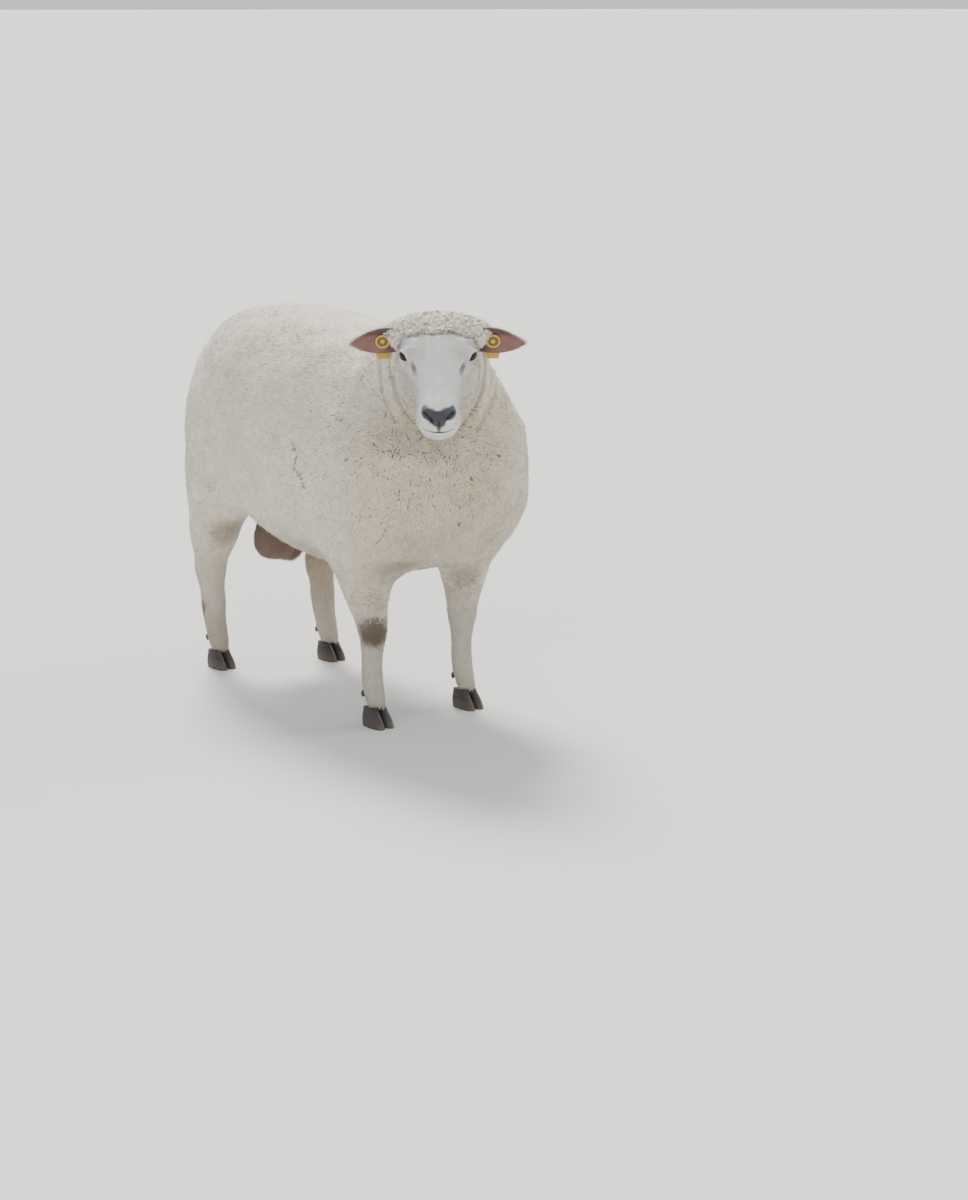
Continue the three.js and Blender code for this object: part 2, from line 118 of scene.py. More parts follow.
def tint(colours: Array, colour: Triple, share: Array) -> Array:
    """Turns each row of colours towards one colour by its share."""
    return colours + (np.array(colour) - colours) * share[:, None]


def ripple(points: Array, scale: float, offset: float = 0.0) -> Array:
    """Smooth noise from about -1 to 1 at each point.

    Args:
        points: Places in metres.
        scale: Size of one wave in metres.
        offset: Moves the pattern, so that two uses differ.

    Returns:
        The noise of each point.
    """
    shifted = points / scale + offset
    return np.array([noise.noise(p) for p in shifted.tolist()])


def pick(*objects: Piece) -> None:
    """Selects only these objects, and makes the first one active."""
    bpy.ops.object.select_all(action="DESELECT")
    for item in objects:
        item.select_set(True)
    bpy.context.view_layer.objects.active = objects[0]


def join(objects: list[Piece]) -> Piece:
    """Joins mesh objects into the first one.

    Args:
        objects: The mesh objects.

    Returns:
        The first one.
    """
    pick(*objects)
    bpy.ops.object.join()
    return objects[0]


def vectors_of(elements: bpy.types.bpy_prop_collection, name: str) -> Array:
    """Reads a vector of each element of a mesh.

    Args:
        elements: The elements.
        name: The vector's name.

    Returns:
        The vectors, as rows.
    """
    flat = np.empty(len(elements) * 3, np.float32)
    elements.foreach_get(name, flat)
    return flat.reshape(-1, 3).astype(float)


def points_of(item: Piece) -> Array:
    """The vertices of a mesh object, as rows."""
    return vectors_of(item.data.vertices, "co")


def normals_of(item: Piece) -> Array:
    """The vertex normals of a mesh object, as rows."""
    return vectors_of(item.data.vertex_normals, "vector")


def set_points(item: Piece, points: Array) -> None:
    """Moves the vertices of a mesh object to the given rows."""
    item.data.vertices.foreach_set("co", points.astype(np.float32).ravel())
    item.data.update()


def mesh_object(name: str, points: Array, faces: Array) -> Piece:
    """A new mesh object.

    Args:
        name: Its name.
        points: Its vertices, as rows.
        faces: Its faces, all with as many corners, as rows of vertex numbers.

    Returns:
        The object, linked to the scene and smooth shaded.
    """
    mesh = bpy.data.meshes.new(name)
    count, corners = faces.shape
    mesh.vertices.add(len(points))
    mesh.vertices.foreach_set("co", points.astype(np.float32).ravel())
    mesh.loops.add(count * corners)
    mesh.loops.foreach_set("vertex_index", faces.astype(np.int32).ravel())
    mesh.polygons.add(count)
    mesh.polygons.foreach_set("loop_start", np.arange(0, count * corners, corners, dtype=np.int32))
    mesh.polygons.foreach_set("use_smooth", np.ones(count, bool))
    mesh.update(calc_edges=True)
    item = bpy.data.objects.new(name, mesh)
    bpy.context.scene.collection.objects.link(item)
    return item


def paint(item: Piece, name: str, values: Array) -> None:
    """Stores a number or a colour for each vertex, for the materials to read.

    Args:
        item: The mesh object.
        name: The attribute's name.
        values: One number for each vertex, or rows of red, green and blue.
    """
    if values.ndim == 1:
        layer = item.data.attributes.new(name, "FLOAT", "POINT")
        layer.data.foreach_set("value", values.astype(np.float32))
        return
    layer = item.data.attributes.new(name, "FLOAT_COLOR", "POINT")
    full = np.concatenate([values, np.ones((len(values), 1))], 1)
    layer.data.foreach_set("color", full.astype(np.float32).ravel())


def apply(item: Piece, kind: str, **settings: object) -> None:
    """Adds a modifier with its settings and applies it.

    Args:
        item: The mesh object.
        kind: The modifier's type.
        **settings: Its properties.
    """
    pick(item)
    modifier = item.modifiers.new(kind.lower(), kind)
    for key, value in settings.items():
        setattr(modifier, key, value)
    bpy.ops.object.modifier_apply(modifier=modifier.name)


def edit_whole(item: Piece, operator: Callable[..., object], **settings: object) -> None:
    """Runs an operator of edit mode on the whole of a mesh object.

    Args:
        item: The mesh object.
        operator: The operator.
        **settings: Its properties.
    """
    pick(item)
    bpy.ops.object.mode_set(mode="EDIT")
    bpy.ops.mesh.select_all(action="SELECT")
    operator(**settings)
    bpy.ops.object.mode_set(mode="OBJECT")


def new_ball(segments: int, rings: int) -> Piece:
    """A new sphere of radius 1, with nothing else selected.

    Args:
        segments: How many parts it has round its axis.
        rings: How many parts it has from pole to pole.

    Returns:
        The sphere.
    """
    bpy.ops.object.select_all(action="DESELECT")
    bpy.ops.mesh.primitive_uv_sphere_add(segments=segments, ring_count=rings, radius=1.0)
    return bpy.context.active_object


def report(piece: Piece) -> None:
    """Logs the name of a piece and how many faces it has."""
    LOG.info("%s: %d faces", piece.name, len(piece.data.polygons))


def plain_copy(name: str) -> Piece:
    """A copy of a CAD node with its loose triangles merged, and no material.

    Args:
        name: The node's name.

    Returns:
        The copy.
    """
    copy = frame["nodes"][name].copy()
    copy.data = copy.data.copy()
    copy.parent = None
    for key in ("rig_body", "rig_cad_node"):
        del copy[key]
    copy.data.materials.clear()
    bpy.context.scene.collection.objects.link(copy)
    edit_whole(copy, bpy.ops.mesh.remove_doubles, threshold=0.01 * MM)
    return copy


def combed(lie: Array, normals: Array, turn: Array) -> Array:
    """Lays directions along a surface and turns them on it.

    Args:
        lie: The directions, as rows.
        normals: The normals there.
        turn: How far each one turns, in radians.

    Returns:
        The directions, each of length 1.
    """
    lie = unit(lie - normals * (lie * normals).sum(1, keepdims=True))
    across = np.cross(normals, lie)
    return unit(lie * np.cos(turn)[:, None] + across * np.sin(turn)[:, None])


def curve_through(points: Array, count: int) -> Array:
    """Evenly numbered places on a smooth curve through the given points.

    Args:
        points: The points, as rows.
        count: How many places to return.

    Returns:
        The places, as rows.
    """
    padded = np.vstack([2 * points[0] - points[1], points, 2 * points[-1] - points[-2]])
    along = np.linspace(0, len(points) - 1 - 1e-9, count)
    first = along.astype(int)
    t = (along - first)[:, None]
    a, b, c, d = (padded[first + k] for k in range(4))
    return 0.5 * (2 * b + (c - a) * t + (2 * a - 5 * b + 4 * c - d) * t**2
                  + (3 * b - a - 3 * c + d) * t**3)


def distance_to(path: Array, points: Array) -> tuple[Array, Array]:
    """How far each point lies from a path, and how far along it is nearest, from 0 to 1."""
    gaps = np.linalg.norm(points[:, None, :] - path[None, :, :], axis=2)
    return gaps.min(1), gaps.argmin(1) / (len(path) - 1)


class Web:
    """Which vertices of a mesh are neighbours."""

    def __init__(self, item: Piece) -> None:
        """Reads the edges of a mesh object.

        Args:
            item: The mesh object.
        """
        flat = np.empty(len(item.data.edges) * 2, np.int32)
        item.data.edges.foreach_get("vertices", flat)
        pairs = flat.reshape(-1, 2)
        self.first = np.concatenate([pairs[:, 0], pairs[:, 1]])
        self.second = np.concatenate([pairs[:, 1], pairs[:, 0]])
        self.count = len(item.data.vertices)
        self.share = 1.0 / np.maximum(np.bincount(self.first, minlength=self.count), 1)

    def around(self, values: Array) -> Array:
        """The mean of each vertex's neighbours.

        Args:
            values: A number or a row for each vertex.

        Returns:
            The means.
        """
        columns = values.reshape(self.count, -1).T[:, self.second]
        sums = [np.bincount(self.first, column, self.count) * self.share for column in columns]
        return np.stack(sums, 1).reshape(values.shape)

    def blur(self, values: Array, times: int, weight: Array | float = 0.6) -> Array:
        """Evens values out over the mesh.

        Args:
            values: A number or a row for each vertex.
            times: How often each vertex turns towards its neighbours.
            weight: How far it turns, for all vertices or for each one.

        Returns:
            The evened values.
        """
        weights = np.broadcast_to(weight, (self.count,)).reshape(-1, *[1] * (values.ndim - 1))
        for _ in range(times):
            values = values + weights * (self.around(values) - values)
        return values


# ---- shapes that bound the regions
@dataclass(frozen=True)
class Ball:
    """An ellipsoid."""

    centre: Triple
    radii: Triple

    def gap(self, points: Array) -> Array:
        """About how far each point lies outside it.

        Args:
            points: Places, as rows.

        Returns:
            The distances.
        """
        radii = np.array(self.radii)
        scaled = (points - np.array(self.centre)) / radii
        reach = lengths(scaled)
        slope = lengths(scaled / radii)
        return reach * (reach - 1.0) / np.maximum(slope, 1e-9)


@dataclass(frozen=True)
class Limb:
    """A round limb that tapers from one point to another."""

    start: Triple
    end: Triple
    start_radius: float
    end_radius: float

    def gap(self, points: Array) -> Array:
        """How far each point lies outside it.

        Args:
            points: Places, as rows.

        Returns:
            The distances.
        """
        start = np.array(self.start)
        along = np.array(self.end) - start
        share = np.clip((points - start) @ along / (along @ along), 0.0, 1.0)
        distance = lengths(points - start - share[:, None] * along)
        return distance - (self.start_radius + (self.end_radius - self.start_radius) * share)


@dataclass(frozen=True)
class Cut:
    """A plane."""

    point: Triple
    normal: Triple

    def front(self, points: Array) -> Array:
        """How far each point lies in front of it."""
        return (points - np.array(self.point)) @ unit(np.array(self.normal))


def nearest_gap(shapes: list[Ball | Limb], points: Array) -> Array:
    """The least gap of each point to any of the shapes."""
    return np.min([shape.gap(points) for shape in shapes], axis=0)


class HeadFrame:
    """The head's own frame, in millimetres: between the eyes, +X to its left, nose along -Y."""

    DROP = math.radians(38)
    EYE_Y = -3.0

    def __init__(self) -> None:
        """Finds the frame from the two eyes."""
        left = np.mean([list(corner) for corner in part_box("eye_left")], axis=0)
        right = np.mean([list(corner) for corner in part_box("eye_right")], axis=0)
        across = unit(left - right)
        ahead = unit(np.cross(across, UP))
        back = -(math.cos(self.DROP) * ahead - math.sin(self.DROP) * UP)
        self.axes = np.array([across, back, np.cross(across, back)])
        self.origin = (left + right) / 2 - self.EYE_Y * MM * back
        self.eyes = {"left": left, "right": right}

    def local(self, points: Array) -> Array:
        """Places in the head's frame, in millimetres."""
        return (points - self.origin) @ self.axes.T / MM

    def world(self, points: Array) -> Array:
        """Places in the animal's frame, in metres, from the head's millimetres."""
        return np.asarray(points, float) * MM @ self.axes + self.origin

    @staticmethod
    def to_left(local: Array) -> Array:
        """Places in the head's frame, with those on its right mirrored to its left."""
        return rows(np.abs(local[:, 0]), local[:, 1], local[:, 2])

    def turned(self, vectors: Array) -> Array:
        """Directions in the animal's frame, from the head's."""
        return np.asarray(vectors, float) @ self.axes


EAR_FROM = 64  # how far out from the head's middle its skin is the ears', in millimetres
# The skull's and the wool's masses in the head's frame, in millimetres.
SKULL = [
    Ball((0, 48, -38), (64, 68, 55)),
    Ball((0, 8, -12), (60, 56, 38)),
    Limb((0, 0, -30), (0, -120, -31), 49, 33),
    Limb((0, -10, -56), (0, -108, -46), 48, 37),
    Limb((0, 0, -80), (0, -118, -56), 34, 24),
    Ball((0, -135, -33), (41, 30, 32)),
    Ball((0, -136, -57), (29, 25, 17)),
    *(Ball((s * 42, 14, -62), (28, 52, 48)) for s in SIDES.values()),
    *(Ball((s * 54, 2, 0), (19, 25, 20)) for s in SIDES.values()),
]
HEAD_WOOL = [
    Ball((2, 66, -6), (91, 45, 38)),
    *(Ball((s * 58, 72, -62), (38, 48, 66)) for s in SIDES.values()),
    *(Ball((s * 85, 53, 8), (26, 22, 17)) for s in SIDES.values()),
    *(Limb((s * 74, 68, -34), (s * 70, 38, -102), 26, 29) for s in SIDES.values()),
    *(Limb((s * 70, 38, -102), (s * 50, 4, -136), 29, 32) for s in SIDES.values()),
    *(Limb((s * 50, 4, -136), (0, -14, -150), 32, 34) for s in SIDES.values()),
]


# ---- where each part of the animal is
@dataclass
class Leg:
    """Where a leg stands, worked out from its two claws."""

    EDGE = (0.115, 0.085)  # how far from the leg's line its column ends, softly, in metres
    TOP = (0.42, 0.36)  # how high above the floor it ends

    name: str
    lead: float  # how far the claws stand ahead of the leg's own line
    low: float  # where wool has given way to hair
    high: float  # where the wool is full

    def __post_init__(self) -> None:
        """Finds the leg's line and its foot."""
        corners = [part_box(f"{self.name}_claw_{which}") for which in ("inner", "outer")]
        lowest = np.min([list(low) for low, _ in corners], axis=0)
        highest = np.max([list(high) for _, high in corners], axis=0)
        self.foot = (lowest + highest) / 2
        self.line = np.array([self.foot[0], self.foot[1] + self.lead])
        self.side = math.copysign(1.0, self.foot[0])

    def near(self, points: Array) -> Array:
        """1 on the leg's column under the belly, 0 elsewhere."""
        distance = lengths(points[:, :2] - self.line)
        return smooth(*self.EDGE, distance) * smooth(*self.TOP, points[:, 2])


class Anatomy:
    """Which part of the animal a point of its surface belongs to."""

    NAPE = Cut((0, 98, 0), (0, -0.95, 0.3))
    THROAT = Cut((0, 0, -118), (0, -0.12, 0.99))
    SHOULDER = Cut((0.0, -0.247, 0.640), (-0.12, -0.99, 0.0))
    BREAST = Cut((-0.02, -0.325, 0.588), (0.0, -0.3, 0.95))

    # How deep the coat is, in metres, and how much less of it there is on some parts.
    BODY_DEPTH, NECK_DEPTH, HEAD_DEPTH, TAIL_DEPTH = 0.0135, 0.0130, 0.0115, 0.010
    HAIR_DEPTH = 0.0014
    THROAT_LESS, LEG_LESS, SHANK_LESS = 0.004, 0.003, 0.0055

    HAIRLINE = 27.0  # behind the eyes, in millimetres
    # Each fold round the face: how deep it is, against the deepest, and half of its path, out from
    # the middle and down from the eyes, in millimetres.
    RUFF_FOLDS = [
        (0.62, [(79, 6), (83, -30), (81, -62), (69, -98), (40, -139), (0, -156)]),
        (0.5, [(98, 12), (104, -35), (98, -92), (66, -150), (0, -184)]),
    ]

    def __init__(self) -> None:
        """Reads the places of the sub-parts from the frame."""
        self.head = HeadFrame()
        fore = {"lead": 0.022, "low": 0.10, "high": 0.31}
        hind = {"lead": 0.036, "low": 0.10, "high": 0.34}
        self.legs = [Leg(f"foreleg_{side}", **fore) for side in SIDES]
        self.legs += [Leg(f"hindleg_{side}", **hind) for side in SIDES]
        self.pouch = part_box("scrotum")
        self.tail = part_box("tail")

    def in_head(self, points: Array) -> Array:
        """True in front of the nape and above the throat."""
        local = self.head.local(points)
        return (self.NAPE.front(local) > 0) & (self.THROAT.front(local) > 0)

    def in_neck(self, points: Array) -> Array:
        """True between the shoulders and the head."""
        ahead = (self.SHOULDER.front(points) > 0) & (self.BREAST.front(points) > 0)
        return ahead & ~self.in_head(points)

    def in_pouch(self, points: Array) -> Array:
        """1 on the scrotum, 0 elsewhere.

        Args:
            points: Places, as rows.

        Returns:
            A number for each of them.
        """
        low, high = self.pouch
        middle = (np.array(low) + np.array(high)) / 2
        away = np.abs((points - middle) / ((np.array(high) - np.array(low)) / 2))
        return smooth(1.12, 0.98, away.max(1))

    def in_tail(self, points: Array) -> Array:
        """True on the tail."""
        low, high = self.tail
        return ((points > np.array(low) - MM) & (points < np.array(high) + MM)).all(1)

    def face(self, points: Array) -> Array:
        """1 where the head has short hair, 0 where it has wool.

        Args:
            points: Places, as rows.

        Returns:
            A number for each of them.
        """
        local = self.head.local(points)
        lead = nearest_gap(HEAD_WOOL, local) - nearest_gap(SKULL, local)
        ragged = 5.0 * ripple(points, 0.011, 2.0) + 4.0 * ripple(points, 0.03, 6.0)
        hairline = self.HAIRLINE + 0.24 * np.abs(local[:, 0]) + ragged
        front = smooth(hairline + 6.0, hairline - 4.0, local[:, 1])
        close = smooth(24.0, 12.0, nearest_gap(SKULL, local))
        return smooth(-7.0, 3.0, lead + ragged) * front * close * self.in_head(points)

    def cheek(self, points: Array) -> Array:
        """1 on the cheeks, which have wool shorter than the body's, 0 elsewhere.

        Args:
            points: Places, as rows.

        Returns:
            A number for each of them.
        """
        local = self.head.local(points)
        below = smooth(-20.0, -44.0, local[:, 2] + 0.25 * (local[:, 1] + 40.0))
        return below * smooth(-104.0, -66.0, local[:, 1]) * self.in_head(points)

    def shin(self, points: Array) -> Array:
        """1 where a leg has short hair, 0 where it has wool."""
        shares = [leg.near(points) * smooth(leg.high, leg.low, points[:, 2]) for leg in self.legs]
        return np.max(shares, axis=0)

    def long_haired(self, points: Array) -> Array:
        """How long the hair of a leg is: 1 at its foot, and more towards the wool.

        Args:
            points: Places, as rows.

        Returns:
            A number for each of them.
        """
        height = points[:, 2]
        rises = [leg.near(points) * smooth(leg.low - 0.04, leg.high - 0.05, height) for leg in self.legs]
        return 1.0 + 2.4 * np.max(rises, axis=0) + 0.7 * smooth(0.062, 0.045, height)

    def depth(self, points: Array) -> Array:
        """How deep the coat is, in metres: how far the skin lies under the tips.

        Args:
            points: Places, as rows.

        Returns:
            A number for each of them.
        """
        local = self.head.local(points)
        wool = np.where(self.in_head(points), self.HEAD_DEPTH, self.BODY_DEPTH)
        wool = np.where(self.in_neck(points), self.NECK_DEPTH, wool)
        wool = np.where(self.in_tail(points), self.TAIL_DEPTH, wool)
        wool = wool - self.THROAT_LESS * smooth(60.0, 90.0, -local[:, 2]) * self.in_head(points)
        column = np.max([leg.near(points) for leg in self.legs], axis=0)
        wool = wool - self.LEG_LESS * column
        wool = wool - self.SHANK_LESS * column * smooth(0.32, 0.18, points[:, 2])
        return wool + (self.HAIR_DEPTH - wool) * self.short(points)

    def ruff_folds(self, points: Array) -> Array:
        """1 in the bottom of the folds that hang round the face, 0 elsewhere.

        Args:
            points: Places, as rows.

        Returns:
            A number for each of them.
        """
        head = self.head
        local = head.local(points)
        middle = (head.eyes["left"] + head.eyes["right"]) / 2
        seen = rows(np.abs(local[:, 0]), (points[:, 2] - middle[2]) / MM)
        seen = seen + 3.0 * rows(ripple(points, 0.03, 1.0), ripple(points, 0.03, 8.0))
        near = (local[:, 1] < 150) & (local[:, 1] > -60) & (seen[:, 1] > -190) & (seen[:, 1] < 40)
        deep = np.zeros(len(points))
        for strength, path in self.RUFF_FOLDS:
            line = curve_through(np.array(path, float), 50)
            gap, _ = distance_to(line, seen[near])
            deep[near] = np.maximum(deep[near], strength * smooth(6.5, 1.0, gap))
        return deep

    def crook(self, points: Array) -> Array:
        """1 in the bends where neck, shoulders and breast meet, 0 elsewhere.

        Args:
            points: Places, as rows.

        Returns:
            A number for each of them.
        """
        near = smooth(0.36, 0.26, lengths(points - np.array(self.BREAST.point)))
        cuts = (self.SHOULDER, self.BREAST)
        bends = [smooth(0.085, 0.035, np.abs(cut.front(points))) for cut in cuts]
        return near * np.max(bends, axis=0) * ~self.in_head(points)

    def short(self, points: Array) -> Array:
        """How far the wool has given way to short hair, from 0 to 1."""
        face = self.face(points) * (1.0 - 0.32 * self.cheek(points))
        return np.maximum.reduce([face, self.shin(points), self.in_pouch(points)])


# ---- markings
@dataclass(frozen=True)
class Spot:
    """A soft-edged patch of colour on the hide and its coat."""

    centre: Triple
    radii: Triple
    colour: Triple
    strength: float = 1.0
    softness: float = 0.5

    def share(self, points: Array, ragged: Array) -> Array:
        """How much of the colour each point takes, with a ragged edge."""
        reach = lengths((points - np.array(self.centre)) / np.array(self.radii))
        return self.strength * smooth(1.0 + self.softness, 1.0 - self.softness, reach + ragged)


@dataclass
class Markings:
    """The colours of hide and coat, worked out from the place on the animal."""

    WOOL = (0.80, 0.735, 0.615)
    BREAST = (0.62, 0.53, 0.375)
    BELLY = (0.60, 0.52, 0.39)
    HAIR = (0.74, 0.725, 0.705)
    # The shins' hair: its own colour, darkened to the tone of the self-shadowed wool above it as painted
    # shade.
    SHIN = (0.60, 0.55, 0.46)
    SLATE = (0.040, 0.040, 0.048)
    BROWN = (0.130, 0.070, 0.045)
    DUST = (0.33, 0.27, 0.19)
    # On the head, in its own frame and in millimetres, the same on both sides.
    MOUTH = [(0, -166.5, -39), (11, -164.5, -40), (21, -159, -39), (31, -148, -43)]
    PAIRED = [
        Spot((57, -4, -2), (24, 27, 20), (0.42, 0.38, 0.36), 0.55, 0.45),
        Spot((33, -2, 12), (13, 30, 14), (0.58, 0.52, 0.42), 0.55, 0.6),
        Spot((46, -36, -9), (6, 18, 8), (0.12, 0.095, 0.09), 0.85, 0.5),
        Spot((46, -30, -60), (26, 60, 40), (0.52, 0.475, 0.44), 0.60, 0.5),
        Spot((40, -128, -24), (16, 22, 16), (0.60, 0.53, 0.51), 0.5, 0.5),
        Spot((17, -148, -9), (17, 15, 10), SLATE, 0.97, 0.22),
        Spot((26, -140, -8), (8, 14, 9), SLATE, 0.97, 0.25),
    ]
    SINGLE = [
        Spot((0, -146, -60), (30, 26, 20), (0.63, 0.57, 0.53), 0.6, 0.5),
        Spot((0, -157, -14), (16, 17, 14), SLATE, 0.97, 0.22),
        Spot((0, -153, -9), (19, 12, 11), SLATE, 0.97, 0.25),
        Spot((0, -165, -27), (4.5, 9, 13), SLATE, 0.85, 0.4),
        Spot((0, 22, 24), (34, 26, 14), (0.52, 0.47, 0.42), 0.45, 0.6),
    ]
    # On the trunk and legs, in metres.
    TRUNK = [
        Spot((-0.126, -0.256, 0.197), (0.036, 0.034, 0.029), (0.135, 0.095, 0.058), 0.92, 0.32),
        Spot((-0.139, 0.372, 0.133), (0.022, 0.022, 0.020), (0.10, 0.08, 0.06), 0.8, 0.4),
        Spot((0.062, 0.225, 0.345), (0.055, 0.12, 0.15), BROWN, 0.60, 0.5),
        Spot((0.0, 0.45, 0.50), (0.05, 0.04, 0.05), (0.30, 0.22, 0.13), 0.55, 0.5),
        Spot((-0.13, 0.345, 0.05), (0.06, 0.08, 0.07), (0.30, 0.24, 0.17), 0.5, 0.6),
        Spot((0.115, 0.285, 0.22), (0.06, 0.09, 0.13), (0.42, 0.30, 0.19), 0.55, 0.6),
        # These three are dirty wool with painted shade: under the brisket, along the chest's lower edge,
        # and where the belly meets the right foreleg.
        Spot((-0.105, -0.325, 0.338), (0.050, 0.05, 0.020), (0.27, 0.21, 0.14), 0.65, 0.6),
        Spot((-0.03, -0.300, 0.312), (0.10, 0.07, 0.016), (0.30, 0.24, 0.16), 0.5, 0.6),
        Spot((-0.155, -0.085, 0.345), (0.05, 0.10, 0.026), (0.36, 0.30, 0.20), 0.5, 0.6),
        Spot((-0.130, 0.262, 0.305), (0.035, 0.035, 0.055), (0.27, 0.20, 0.13), 0.65, 0.5),
        Spot((0.096, -0.275, 0.282), (0.026, 0.035, 0.032), (0.36, 0.31, 0.23), 0.6, 0.5),
    ]

    anatomy: Anatomy

    def colours(self, points: Array) -> Array:
        """The colour of hide and coat at each point.

        Args:
            points: Places, as rows.

        Returns:
            The colours, as rows of linear red, green and blue.
        """
        anatomy = self.anatomy
        ragged = 0.22 * ripple(points, 0.012)
        colours = np.tile(np.array(self.WOOL), (len(points), 1))
        under = smooth(0.42, 0.30, points[:, 2]) * (np.abs(points[:, 0]) < 0.2)
        colours = tint(colours, self.BELLY, 0.55 * under)
        ahead = smooth(-0.22, -0.36, points[:, 1]) * smooth(0.80, 0.62, points[:, 2])
        colours = tint(colours, self.BREAST, ahead * (0.68 + 0.25 * ripple(points, 0.09, 31.0)))
        colours = tint(colours, self.SHIN, anatomy.shin(points))
        colours = tint(colours, self.BROWN, 0.9 * anatomy.in_pouch(points))
        near_floor = smooth(0.16, 0.03, points[:, 2])
        colours = tint(colours, self.DUST, 0.55 * near_floor)
        for spot in self.TRUNK:
            colours = tint(colours, spot.colour, spot.share(points, ragged))
        local = anatomy.head.local(points)
        mirrored = anatomy.head.to_left(local)
        colours = tint(colours, self.HAIR, anatomy.face(points) * (1.0 - 0.85 * anatomy.cheek(points)))
        on_head = anatomy.in_head(points)
        for places, spots in ((mirrored, self.PAIRED), (local, self.SINGLE)):
            for spot in spots:
                colours = tint(colours, spot.colour, spot.share(places, ragged) * on_head)
        # A dark line along the lips, fading towards the corners: their dark skin, with painted shade in
        # the cleft between them.
        near = on_head & (np.abs(mirrored - np.array(self.MOUTH).mean(0)).max(1) < 40)
        gap, along = self.gap_to(self.MOUTH, mirrored[near])
        line = np.zeros(len(points))
        line[near] = smooth(3.0, 1.3, gap) * (1.0 - 0.85 * along**1.5)
        return tint(colours, self.SLATE, 0.97 * line)

    @staticmethod
    def gap_to(path: list[Triple], places: Array) -> tuple[Array, Array]:
        """How far places on the muzzle lie from a line, seen from ahead, and how far along it."""
        ahead = np.array([1.0, 0.35, 1.0])
        return distance_to(curve_through(np.array(path, float), 40) * ahead, places * ahead)

    def bare(self, points: Array) -> Array:
        """1 on the nose and lips, where no hair grows.

        Args:
            points: Places, as rows.

        Returns:
            A number for each of them.
        """
        head = self.anatomy.head
        local = head.to_left(head.local(points))
        still = np.zeros(len(points))
        spots = [s for s in self.PAIRED + self.SINGLE if s.colour == self.SLATE]
        return np.max([spot.share(local, still) for spot in spots], axis=0)


